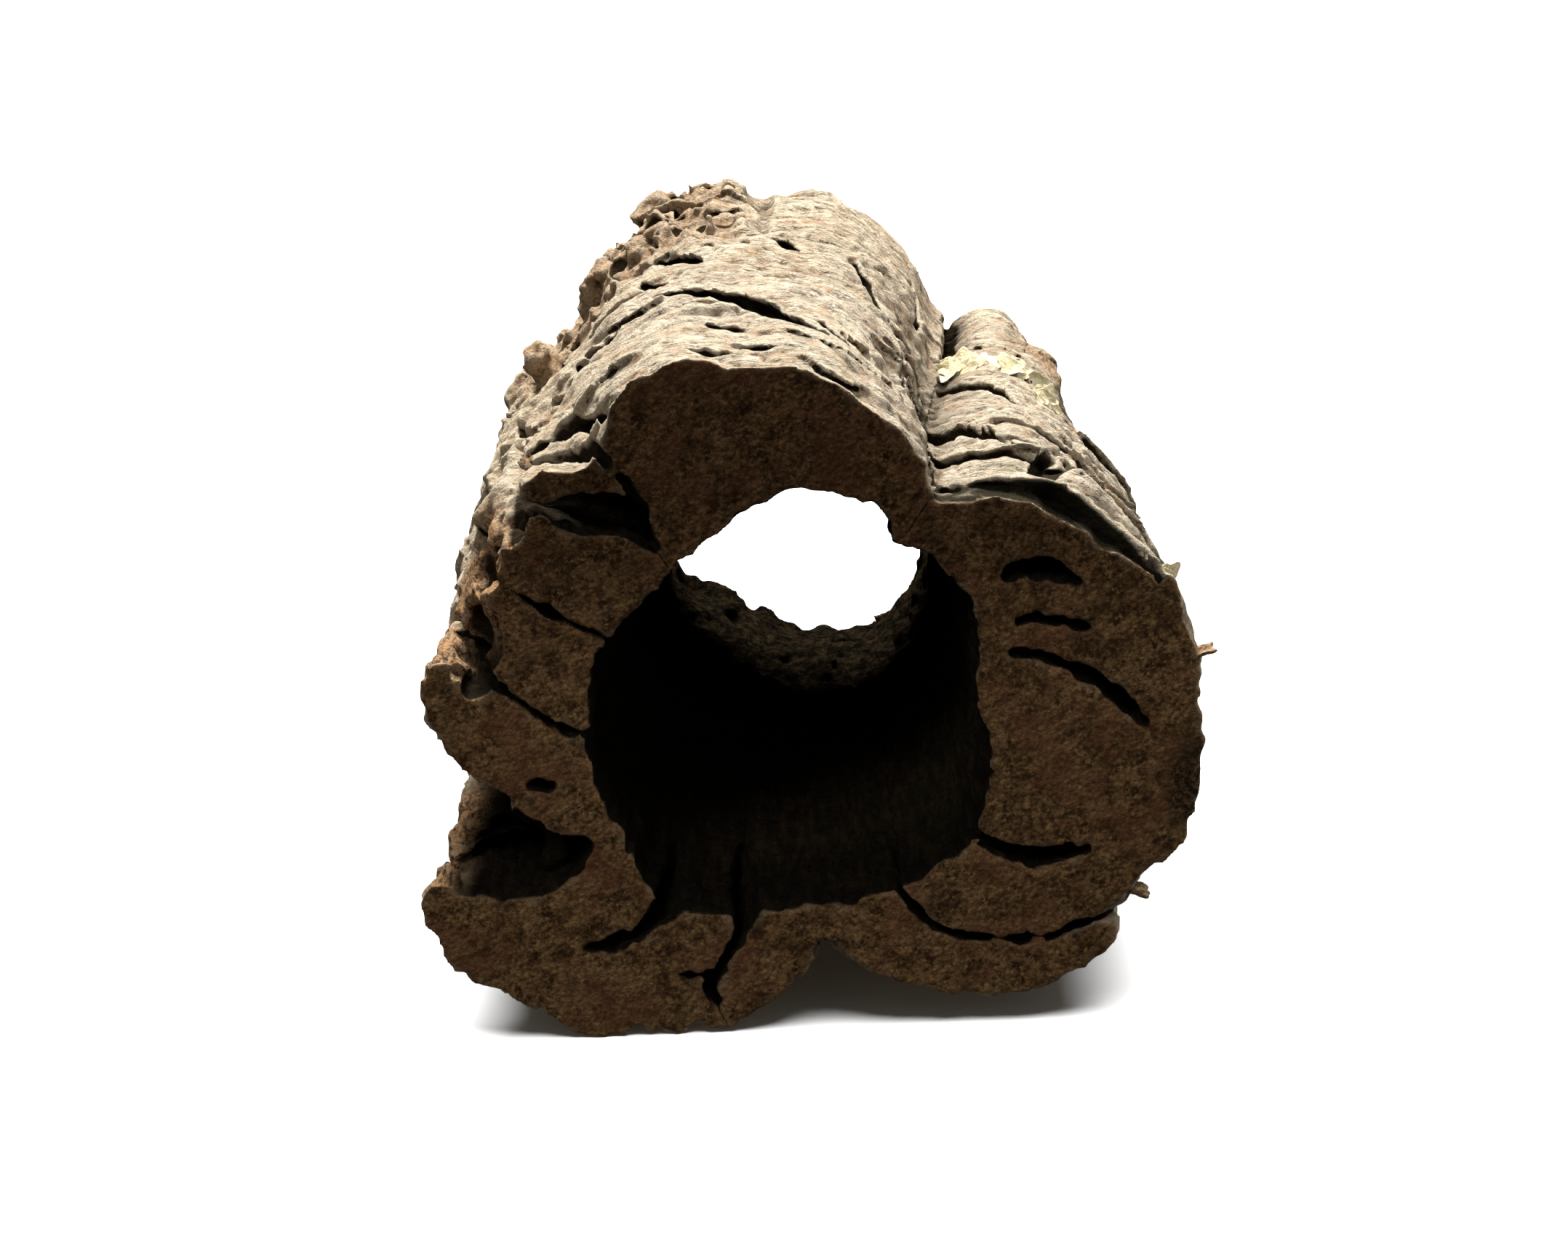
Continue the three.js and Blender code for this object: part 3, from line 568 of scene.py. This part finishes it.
def signedVolume(points, faces):
    a, b, c = (points[faces[:, k]].astype(np.float64) for k in range(3))
    total = np.einsum("ij,ij->i", a, np.cross(b, c)).sum()
    if faces.shape[1] == 4:
        d = points[faces[:, 3]].astype(np.float64)
        total += np.einsum("ij,ij->i", a, np.cross(c, d)).sum()
    return total / 6


def vertexNormals(points, faces):
    p = points[faces]
    normal = np.cross(p[:, 2] - p[:, 0], p[:, -1] - p[:, 1])
    total = np.zeros_like(points)
    for k in range(faces.shape[1]):
        for axis in range(3):
            total[:, axis] += np.bincount(faces[:, k], normal[:, axis], len(points))
    return total / np.maximum(np.linalg.norm(total, axis=1, keepdims=True), 1e-9)


def setAttribute(obj, name, values):
    layer = obj.data.attributes.new(name, "FLOAT", "POINT")
    layer.data.foreach_set("value", np.asarray(values, np.float32))


def thinned(obj, most):                    # keeps the detail and drops faces where it is flat
    count = len(obj.data.polygons) * 2
    if count <= most:
        return
    modifier = obj.modifiers.new("thin", "DECIMATE")
    modifier.ratio = most / count
    thin = bpy.data.meshes.new_from_object(obj.evaluated_get(bpy.context.evaluated_depsgraph_get()))
    obj.modifiers.clear()
    old = obj.data
    obj.data = thin
    bpy.data.meshes.remove(old)


slabs = {}
for index, name in enumerate(barkNames):
    neighbour = np.where(owner == index, second, nearest)
    mine = 0.5 * (slabDistance[index] - neighbour) - block["overlap"]
    field = np.clip(np.maximum(carved, mine), -2.5, 2.5)
    found = [np.argwhere((field < 0).any(axis=others)) for others in ((1, 2), (0, 2), (0, 1))]
    lo = [max(int(f.min()) - 2, 0) for f in found]
    hi = [int(f.max()) + 3 for f in found]
    part = np.ascontiguousarray(field[lo[0]:hi[0], lo[1]:hi[1], lo[2]:hi[2]])
    points, tris, quads = polygons(part, tuple(l + o for l, o in zip(lowIndex, lo)))
    points, quads = keepMain(points, quads)
    if signedVolume(points, quads) < 0:
        quads = quads[:, ::-1]
    normals = vertexNormals(points, quads)
    px, py, pz = points.T
    turnHere = np.arctan2(px - pith[0], pz - pith[1])
    radiusHere = np.hypot(px - pith[0], pz - pith[1])
    way = np.degrees(turnHere)
    front = beyondFront(px, py)
    off = np.maximum(front, beyondBack(px, py))
    depthShade = -readAt(uncut, points)
    obj = newObject("bark_" + name, points, quads)
    setAttribute(obj, "sawn", 1 - ease(0.25, 0.75, -off))
    setAttribute(obj, "belowSkin", lookRound(skinRadius, turnHere, py) - radiusHere)
    # dark green-brown: painted shade along the broken rim of the right slab, and a dark spot low on the right of
    # the front cut
    shelfShade = (ease(21, 27, way) * ease(72, 60, way) * ease(-13, -10, front) * ease(0.2, 0.9, depthShade)
               * (front < -0.8) * (name == "right_slab"))
    spot = ease(11, 6, np.hypot((px - 90) * 1.2, (pz - 60) * 0.75)) * (front > -4)
    setAttribute(obj, "stainAndShade", shelfShade + spot)
    # fibrous brown: the notch, the front of the left flank, the knobs and the knotted far end
    inNotch = ease(-50, -58, px) * ease(78, 72, pz) * ease(34, 40, pz) * ease(-52, -64, py)
    onLeft = 0.95 * ease(-60, -67, px) * ease(84, 88, pz) * ease(128, 120, pz) * ease(-74, -84, py)
    onKnob = np.maximum(0.6 * ease(4, -1, readAt(leftKnob, points)),
                        0.8 * ease(4, -1, readAt(rightKnob, points)))
    onKnots = 0.5 * ease(22, 50, py) * ease(-6, -16, way) * ease(-75, -50, way)
    allOver = np.full_like(way, 1.0 if name in ("notch_curl", "notch_stub") else 0.0)
    setAttribute(obj, "brown", np.maximum.reduce([inNotch, onLeft, onKnots, onKnob, allOver]))
    # painted shade, black: how far below the uncut bark a place lies, and a painted shadow over the floor of the
    # cavity on the upper left
    cavityShadow = (ease(-34, -40, px) * ease(-70, -66, px) * ease(-64, -76, py) * ease(114, 118, pz)
              * (front < -0.8) * (name == "upper_left_slab"))
    setAttribute(obj, "depthShade", np.where(off > -0.6, 0, np.maximum(depthShade, 2.4 * cavityShadow)))
    setAttribute(obj, "closeShelter", readAt(closeShelter, points + normals * 0.6))
    setAttribute(obj, "wideShelter", readAt(wideShelter, points + normals * 1.5))
    thinned(obj, mostTriangles)
    slabs[name] = obj
    say(f"{name}: {len(quads) * 2} triangles, {len(obj.data.polygons)} faces kept")


# shader wiring
class Wire:                                # one output of a node, so that sums on it read as plain Python
    def __init__(self, tree, socket=None):
        self.tree, self.socket = tree, socket

    def node(self, kind, settings=None, values=None, out=0):
        made = self.tree.nodes.new(kind)
        for key, value in (settings or {}).items():
            setattr(made, key, value)
        for key, value in (values or {}).items():
            self.feed(made.inputs[key], value)
        return Wire(self.tree, made.outputs[out])

    def feed(self, target, value):
        if isinstance(value, Wire):
            self.tree.links.new(value.socket, target)
        elif isinstance(value, tuple) and len(target.default_value) == 4:
            target.default_value = (*value, 1)
        else:
            target.default_value = value

    def maths(self, operation, *values):
        return self.node("ShaderNodeMath", {"operation": operation}, dict(enumerate(values)))

    def __add__(self, other): return self.maths("ADD", self, other)
    def __radd__(self, other): return self.maths("ADD", other, self)
    def __sub__(self, other): return self.maths("SUBTRACT", self, other)
    def __rsub__(self, other): return self.maths("SUBTRACT", other, self)
    def __mul__(self, other): return self.maths("MULTIPLY", self, other)


def newMaterial(name):
    material = bpy.data.materials.new(name)
    material.use_nodes = True
    tree = material.node_tree
    tree.nodes.clear()
    start = Wire(tree)
    coords = start.node("ShaderNodeTexCoord", out=3)
    place = coords.node("ShaderNodeVectorMath", {"operation": "SCALE"}, {0: coords, 3: 1000.0})
    return material, start, place


def noise(place, size, detail=3.0, roughness=0.55, stretch=None, offset=(0, 0, 0)):
    where = place
    if stretch or offset != (0, 0, 0):
        where = place.node("ShaderNodeMapping", {}, {0: place, 1: offset, 3: stretch or (1, 1, 1)})
    return place.node("ShaderNodeTexNoise", {"noise_dimensions": "3D"},
                      {"Vector": where, "Scale": 1.0 / size, "Detail": detail, "Roughness": roughness})


def cells(place, size):                    # distance to the nearest of scattered points
    return place.node("ShaderNodeTexVoronoi", {"feature": "F1"}, {"Vector": place, "Scale": 1.0 / size})


def between(value, low, high):             # eased step from 0 at low to 1 at high
    return value.node("ShaderNodeMapRange", {"interpolation_type": "SMOOTHSTEP"},
                      {0: value, 1: low, 2: high, 3: 0.0, 4: 1.0})


def blend(factor, a, b, kind="MIX"):
    first = factor if isinstance(factor, Wire) else (a if isinstance(a, Wire) else b)
    return first.node("ShaderNodeMix", {"data_type": "RGBA", "blend_type": kind, "clamp_factor": True},
                      {0: factor, 6: a, 7: b}, 2)


def finishMaterial(material, start, colour, roughness, bump, strength, distance, specular=0.0):
    surface = start.node("ShaderNodeBump", {}, {"Strength": strength, "Distance": distance * mm, "Height": bump})
    shader = start.node("ShaderNodeBsdfPrincipled", {}, {
        "Base Color": colour, "Roughness": roughness, "Specular IOR Level": specular, "Normal": surface})
    output = start.tree.nodes.new("ShaderNodeOutputMaterial")
    start.tree.links.new(shader.socket, output.inputs[0])
    return material


# the shade colour darkens crumbs and, as painted shade, crevices and cracks; black is painted shade in cuts; the
# green-black is painted shade on the right slab's broken rim and a dark spot on the front cut
rindColours = {
    "pale": (0.64, 0.540, 0.405), "grey": (0.50, 0.420, 0.320), "tan": (0.42, 0.275, 0.160),
    "cream": (0.80, 0.70, 0.52), "shade": (0.066, 0.044, 0.028), "rust": (0.42, 0.18, 0.07),
    "green": (0.32, 0.32, 0.19), "fibre": (0.46, 0.265, 0.130), "greenBlack": (0.040, 0.036, 0.022),
    "flank": (0.42, 0.30, 0.180), "black": (0.018, 0.011, 0.006),
}
# the joint colour marks the dark joints between grains and, as painted shade, the face's recesses; the edge colour
# is a painted highlight along the face's edges
sawnColours = {
    "light": (0.74, 0.450, 0.210), "mid": (0.42, 0.238, 0.105), "dark": (0.100, 0.054, 0.025),
    "jointAndShade": (0.032, 0.018, 0.010), "red": (0.38, 0.168, 0.088), "edge": (0.60, 0.46, 0.29),
}
# near-black colours for the walls of the hollow and fissures, partly their own dark colour and partly painted
# shade; far is painted shade at the far end
hollowColours = {
    "dark": (0.020, 0.017, 0.012), "brown": (0.038, 0.028, 0.017), "green": (0.026, 0.026, 0.015),
    "far": (0.0040, 0.0033, 0.0020), "farLump": (0.034, 0.023, 0.012),
}


def barkMaterial():
    material, start, place = newMaterial("cork bark")

    def attribute(name):
        return start.node("ShaderNodeAttribute", {"attribute_name": name}, out=2)

    sawnPart, below = attribute("sawn"), attribute("belowSkin")
    close, wide = attribute("closeShelter"), attribute("wideShelter")
    c = rindColours

    # rind: chalky and crumbly, with hairs along the round and fine short dark lines across it, painted shade in the
    # shallow cracks that the bump draws
    right, along, up = (start.node("ShaderNodeSeparateXYZ", {}, {0: place}, out) for out in range(3))
    broad = noise(place, 24, 3)
    middle = noise(place, 6, 5, 0.62)
    crumb = noise(place, 2.7, 5, 0.70, offset=(4, 4, 4))
    speckle = noise(place, 1.3, 5, 0.72)
    hairs = noise(place, 1.0, 4, 0.65, stretch=(1.0, 0.16, 1.0))
    wave = noise(place, 1.0, 4, 0.6, stretch=(0.085, 0.50, 0.14), offset=(3, 1, 7))
    ripple = noise(place, 1.0, 4, 0.62, stretch=(0.26, 1.10, 0.34), offset=(8, 4, 2))
    sponge = between(right * -1.0, 34.0, 62.0)
    smooth = 1 - sponge * 0.75
    fromLine = wave.maths("ABSOLUTE", wave - 0.5)
    crackLine = between(fromLine, 0.036, 0.006) * between(middle, 0.42, 0.56) * smooth
    fromLine = ripple.maths("ABSOLUTE", ripple - 0.5)
    rippleLine = between(fromLine, 0.055, 0.010) * between(noise(place, 7, 2), 0.46, 0.60) * smooth
    rind = blend(between(broad, 0.36, 0.62), c["grey"], c["pale"])
    rind = blend(between(middle, 0.54, 0.74) * 0.8, rind, c["cream"])
    rind = blend(between(middle, 0.50, 0.30) * 0.7, rind, c["tan"])
    rind = blend(between(noise(place, 11, 4, 0.6, offset=(9, 9, 9)), 0.50, 0.64) * 0.55, rind, c["tan"])
    rind = blend(sponge * between(speckle, 0.38, 0.60) * 0.8, rind, c["flank"])
    rind = blend(between(ripple, 0.50, 0.36) * 0.25 * smooth, rind, c["tan"])
    rind = blend(between(hairs, 0.48, 0.36) * 0.35, rind, c["tan"])
    rind = blend(between(crumb, 0.46, 0.32) * 0.48, rind, c["shade"])
    rind = blend(between(speckle, 0.46, 0.34) * 0.50, rind, c["shade"])
    rind = blend(between(speckle, 0.56, 0.68) * 0.50, rind, c["cream"])
    dusky = blend(1.0, rind, (0.72, 0.68, 0.62), "MULTIPLY")
    rind = blend(between(along, -30.0, 50.0) * 0.5, rind, dusky)
    # painted shade in the fine cracks and ripples
    rind = blend(rippleLine * 0.55, rind, c["shade"])
    rind = blend(crackLine * 0.85, rind, c["shade"])
    rustSpot = between(cells(place, 5.0), 0.20, 0.09) * between(noise(place, 9, 2), 0.53, 0.61)
    rind = blend(rustSpot * 0.9, rind, c["rust"])
    rind = blend(between(noise(place, 18, 3), 0.60, 0.72) * 0.4, rind, c["green"])
    # painted shade in crevices and fissures, read from how sheltered a place is; paler on jutting edges
    rind = blend(between(close, 0.41, 0.55) * 0.92, rind, c["shade"])
    rind = blend(between(wide, 0.40, 0.58) * 0.8, rind, c["shade"])
    rind = blend(between(close, 0.31, 0.20) * 0.45, rind, c["cream"])
    fibrous = blend(between(hairs, 0.38, 0.56), c["shade"], c["fibre"])
    rind = blend(attribute("brown") * between(crumb + hairs * 0.5, 0.52, 0.72), rind, fibrous)
    # painted shade: black as deep as the bark is cut in
    rind = blend(between(attribute("depthShade"), 0.5, 1.9) * 0.95, rind, c["black"])
    # green-black: painted shade on the right slab's broken rim
    rind = blend(attribute("stainAndShade") * between(crumb + speckle, 0.74, 0.94) * 0.96, rind, c["greenBlack"])

    # sawn cork: fine rounded grains with dark joints, redder and darker in patches
    s = sawnColours
    grainPlace = start.node("ShaderNodeVectorMath", {"operation": "ADD"}, {0: place, 1: noise(place, 2.0, 2)})
    grains = cells(grainPlace, 1.25)
    grainTone = noise(place, 1.15, 5, 0.72)
    nodules = noise(place, 3.4, 4, 0.66, offset=(2, 6, 4))
    face = blend(between(nodules, 0.34, 0.62), s["dark"], s["mid"])
    face = blend(between(grainTone, 0.46, 0.66) * 0.8, face, s["light"])
    face = blend(between(grainTone, 0.46, 0.34) * 0.5, face, s["jointAndShade"])
    face = blend(between(grains, 0.50, 0.90) * 0.5, face, s["jointAndShade"])
    face = blend(between(noise(place, 7, 4, 0.6, offset=(1, 3, 5)), 0.54, 0.38) * 0.5, face, s["dark"])
    face = blend(between(noise(place, 13, 3), 0.50, 0.64) * 0.45, face, s["red"])
    # painted shade in the face's recesses, and a painted highlight along its edges
    face = blend(between(close, 0.50, 0.66) * 0.8, face, s["jointAndShade"])
    face = blend(between(close, 0.24, 0.14) * 0.4, face, s["edge"])
    face = blend(attribute("stainAndShade") * between(grainTone, 0.36, 0.56), face, c["greenBlack"])
    # painted shade: the sawn face darkened towards its top
    face = blend(between(up, 80.0, 138.0), face, blend(1.0, face, (0.50, 0.48, 0.48), "MULTIPLY"))

    # the walls of the hollow and of the fissures: dark fibres, mossy lumps toward the back; their near-black is
    # partly their own colour and partly painted shade
    h = hollowColours
    streaks = noise(place, 1.0, 4, 0.6, stretch=(0.45, 0.07, 0.45), offset=(5, 2, 1))
    inner = blend(between(streaks, 0.40, 0.66), h["dark"], h["brown"])
    inner = blend(between(noise(place, 12, 3), 0.52, 0.66) * 0.5, inner, h["green"])
    # painted shade where the wall is sheltered; lighter from y = -40 mm on; near black toward the far end as
    # painted shade, with lighter lumps
    inner = blend(between(wide, 0.50, 0.70) * 0.7, inner, h["dark"])
    inner = blend(between(along, -95.0, -40.0), inner, blend(1.0, inner, (1.9, 1.8, 1.6), "MULTIPLY"))
    inner = blend(between(along, 0.0, 45.0), inner, blend(between(crumb, 0.38, 0.76), h["far"], h["farLump"]))

    # painted shade: sheltered rind takes the walls' near-black colour, and so does the sawn face where deeply
    # sheltered
    skinPart = between(below, 12.0, 4.0) * between(wide, 0.56, 0.44)
    colour = blend(skinPart, inner, rind)
    colour = blend(sawnPart * between(close, 0.72, 0.60), colour, face)

    grainBump = between(grains, 0.95, 0.10) * 0.8 + grainTone * 2.4 + nodules * 2.6
    rindBump = (speckle * 1.5 + crumb * 1.7 + middle * 0.7 + hairs * 0.35 + ripple * 0.35
                - crackLine * 0.5 - rippleLine * 0.3)
    bump = start.node("ShaderNodeMix", {"data_type": "FLOAT"}, {0: sawnPart, 2: rindBump, 3: grainBump})
    roughness = 0.82 + speckle * 0.14
    return finishMaterial(material, start, colour, roughness, bump, 1.0, 1.5)


barkFinish = barkMaterial()
for name, obj in slabs.items():
    obj.data.materials.append(barkFinish)
    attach(obj, "root")
    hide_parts(name)
say("bark finish")


# lichens and loose flakes
def slopeAt(points):                       # outward direction, read over 1.2 mm to either side
    out = np.stack([readAt(carved, points + s) - readAt(carved, points - s) for s in np.eye(3) * 1.2], 1)
    return out / np.maximum(np.linalg.norm(out, axis=1, keepdims=True), 1e-6)


def settled(points):                       # walks points along the slope until they lie on the bark
    points = np.array(points, float)
    for _ in range(12):
        points -= 0.7 * np.clip(readAt(carved, points), -2, 2)[:, None] * slopeAt(points)
    return points, slopeAt(points)


# one closed leaf: rings from pole to pole; a point lies radius(turn) x cos(rise) out in the leaf's own plane and
# thick x sin(rise) + ruffle(turn) x reach^2 + curl x reach^3 above it
def leaf(centre, up, lengthways, rng, size, thick, ruffle, curl, narrow=1.0, around=32, rings=9):
    sideways = np.cross(up, lengthways)
    sideways /= np.linalg.norm(sideways)
    lengthways = np.cross(sideways, up)
    turn = np.linspace(0, 2 * math.pi, around, endpoint=False)
    rise = np.linspace(-90, 90, rings + 2)[1:-1] * math.pi / 180

    def waves(counts, heights):            # a sum of sines round the leaf
        shifts = rng.uniform(0, 6.3, len(counts))
        return sum(h * np.sin(n * turn + p) for n, h, p in zip(counts, heights, shifts))

    edge = 1 + waves((2, 3, 5, 8), (0.14, 0.17, 0.13, 0.08))
    wave = waves((2, 3, 5), (0.5, 0.6, 0.4))
    out = np.cos(rise)[:, None] ** 0.5
    u = size * out * edge * np.cos(turn)
    v = size * out * edge * np.sin(turn) * narrow
    w = thick * np.sin(rise)[:, None] + ruffle * out ** 2 * wave + curl * out ** 3 + 0 * turn
    body = centre + u[..., None] * lengthways + v[..., None] * sideways + w[..., None] * up
    points = np.concatenate([centre - thick * up[None], body.reshape(-1, 3), centre + thick * up[None]])
    k, n = np.meshgrid(np.arange(rings - 1), np.arange(around), indexing="ij")
    a, b = 1 + k * around + n, 1 + k * around + (n + 1) % around
    sides = np.concatenate([np.stack([a, b, b + around], -1).reshape(-1, 3),
                            np.stack([a, b + around, a + around], -1).reshape(-1, 3)])
    n = np.arange(around)
    last = 1 + (rings - 1) * around
    low = np.stack([np.zeros(around, int), 1 + (n + 1) % around, 1 + n], 1)
    high = np.stack([np.full(around, len(points) - 1), last + n, last + (n + 1) % around], 1)
    return points, np.concatenate([sides, low, high])


def joined(parts):
    points, faces, count = [], [], 0
    for p, f in parts:
        points.append(p)
        faces.append(f + count)
        count += len(p)
    points, faces = np.concatenate(points), np.concatenate(faces)
    return (points, faces) if signedVolume(points, faces) > 0 else (points, faces[:, ::-1])


def boxOf(name):
    low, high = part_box(name)
    return np.array(low) * 1000, np.array(high) * 1000


lichens = {
    "lichen_large": {"leaves": 12, "size": 4.4, "seed": 3},
    "lichen_ridge": {"leaves": 11, "size": 3.8, "seed": 5},
    "lichen_shoulder": {"leaves": 7, "size": 3.2, "seed": 8},
    "lichen_drop": {"leaves": 8, "size": 3.4, "seed": 11},
    "lichen_side": {"leaves": 5, "size": 2.8, "seed": 14},
    "lichen_rim": {"leaves": 5, "size": 2.0, "seed": 17},
}
flakes = {
    "rim_flake": {"size": 3.0, "narrow": 0.7, "thick": 0.6, "seed": 21},
    "hanging_chip": {"size": 3.1, "narrow": 0.6, "thick": 0.9, "seed": 23},
    "side_flake": {"size": 2.9, "narrow": 0.75, "thick": 0.6, "seed": 26},
}
smallPieces = {}
for name, how in lichens.items():
    rng = np.random.default_rng(how["seed"])
    low, high = boxOf(name)
    spread = rng.uniform(0.16, 0.84, (how["leaves"], 2))
    scattered = np.stack([low[0] + (high[0] - low[0]) * spread[:, 0], low[1] + (high[1] - low[1]) * spread[:, 1],
                          np.full(how["leaves"], 0.5 * (low[2] + high[2]))], 1)
    onBark, up = settled(scattered)
    leaves = []
    for centre, normal in zip(onBark, up):
        tilt = normal + np.array([0, -0.75, 0.15]) + rng.normal(0, 0.14, 3)
        tilt /= np.linalg.norm(tilt)
        leaves.append(leaf(centre + normal * rng.uniform(0.3, 0.9), tilt, rng.normal(0, 1, 3), rng,
                           how["size"] * rng.uniform(0.7, 1.25), 0.26, 0.34,
                           rng.uniform(0.1, 0.8), rng.uniform(0.6, 1.0)))
    smallPieces[name] = newObject("leaves_" + name, *joined(leaves))
for name, how in flakes.items():
    rng = np.random.default_rng(how["seed"])
    low, high = boxOf(name)
    (centre,), (normal,) = settled([0.5 * (low + high)])
    parts = [leaf(centre + normal * how["size"] * 0.5, np.cross(normal, [0.2, 1.0, 0.3]), normal, rng,
                  how["size"], how["thick"], 0.35, 0.5, how["narrow"]),
             leaf(centre + normal * 0.4 + np.array([0.6, 1.8, 0.4]), np.cross(normal, [0.6, 1.0, 0.1]), normal, rng,
                  how["size"] * 0.55, how["thick"] * 0.8, 0.3, 0.3, 0.8)]
    smallPieces[name] = newObject("flake_" + name, *joined(parts))
say("lichens and flakes")


def lichenMaterial():
    material, start, place = newMaterial("pale lichen")
    tone, fine = noise(place, 3.2, 4, 0.6), noise(place, 0.7, 4, 0.7)
    colour = blend(between(tone, 0.36, 0.58), (0.45, 0.385, 0.23), (0.62, 0.55, 0.35))
    colour = blend(between(fine, 0.46, 0.34) * 0.6, colour, (0.33, 0.26, 0.17))
    colour = blend(between(noise(place, 2.0, 3), 0.60, 0.72) * 0.5, colour, (0.14, 0.10, 0.06))
    return finishMaterial(material, start, colour, 0.85, fine + tone * 0.6, 0.8, 0.5)


def looseMaterial():
    material, start, place = newMaterial("loose bark")
    tone, fine = noise(place, 2.4, 4, 0.6), noise(place, 0.8, 5, 0.7)
    colour = blend(between(tone, 0.36, 0.64), (0.13, 0.075, 0.042), (0.36, 0.235, 0.135))
    colour = blend(between(fine, 0.48, 0.36) * 0.7, colour, (0.04, 0.025, 0.015))
    colour = blend(between(noise(place, 4.0, 3), 0.56, 0.68) * 0.6, colour, (0.46, 0.37, 0.26))
    return finishMaterial(material, start, colour, 0.88, fine + tone * 0.7, 1.0, 0.8)


lichenFinish, looseFinish = lichenMaterial(), looseMaterial()
for name, obj in smallPieces.items():
    obj.data.materials.append(lichenFinish if name in lichens else looseFinish)
    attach(obj, "root")
    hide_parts(name)

# floor, light and camera
stage = {
    "floorRadius": 9.0, "floorShade": 0.86, "floorLight": 900.0,
    "key": 74.0, "front": 8.0, "side": 10.0, "fill": 0.125,
}
turns = np.linspace(0, 2 * math.pi, 96, endpoint=False)
floor = newObject("floor", np.stack([np.cos(turns), np.sin(turns), np.zeros(96)], 1) * stage["floorRadius"] * 1000,
                  np.arange(96)[None, :], False)
paper = bpy.data.materials.new("paper floor")
paper.use_nodes = True
paper.node_tree.nodes["Principled BSDF"].inputs["Base Color"].default_value = (*[stage["floorShade"]] * 3, 1)
paper.node_tree.nodes["Principled BSDF"].inputs["Roughness"].default_value = 0.9
paper.node_tree.nodes["Principled BSDF"].inputs["Specular IOR Level"].default_value = 0.1
floor.data.materials.append(paper)
floor.visible_diffuse = False
floor.visible_glossy = False


def softbox(name, at, toward, size, power, only=None):
    data = bpy.data.lights.new(name, "AREA")
    data.shape, data.size, data.energy = "DISK", size, power
    light = bpy.data.objects.new(name, data)
    light.location = at
    light.rotation_euler = (Vector(toward) - Vector(at)).to_track_quat("-Z", "Y").to_euler()
    bpy.context.scene.collection.objects.link(light)
    if only:
        light.light_linking.receiver_collection = only
    return light


roundOnly = bpy.data.collections.new("the round")
for obj in bpy.data.objects:
    if obj.type == "MESH" and obj is not floor:
        roundOnly.objects.link(obj)
floorOnly = bpy.data.collections.new("the floor")
floorOnly.objects.link(floor)
softbox("key", (-0.16, 0.66, 1.26), (0, 0, 0.08), 0.42, stage["key"], roundOnly)
softbox("front fill", (-0.55, -1.15, 1.35), (0, 0, 0.08), 0.6, stage["front"], roundOnly)
softbox("side fill", (1.0, 0.1, 0.85), (0, 0, 0.08), 0.6, stage["side"], roundOnly)
softbox("floor light", (0, 0.2, 4.0), (0, 0, 0), 5.0, stage["floorLight"], floorOnly)

world = bpy.data.worlds.new("studio")
bpy.context.scene.world = world
world.use_nodes = True
tree = world.node_tree
tree.nodes.clear()
wire = Wire(tree)
dim = wire.node("ShaderNodeBackground", {}, {"Color": (1.0, 0.94, 0.85), "Strength": stage["fill"]})
white = wire.node("ShaderNodeBackground", {}, {"Color": (1.0, 1.0, 1.0), "Strength": 1.0})
seen = wire.node("ShaderNodeLightPath", out=0)
both = wire.node("ShaderNodeMixShader", {}, {0: seen, 1: dim, 2: white})
output = tree.nodes.new("ShaderNodeOutputWorld")
tree.links.new(both.socket, output.inputs[0])

camera = bpy.data.objects.new("camera", bpy.data.cameras.new("camera"))
camera.data.lens, camera.data.sensor_width = 75, 36
camera.data.clip_start, camera.data.clip_end = 0.01, 100
camera.location = (-0.00581, -0.81719, 0.334)
camera.rotation_euler = (math.radians(72), 0, 0)
bpy.context.scene.collection.objects.link(camera)
bpy.context.scene.camera = camera
bpy.context.scene.view_settings.view_transform = "Standard"
say("stage set")
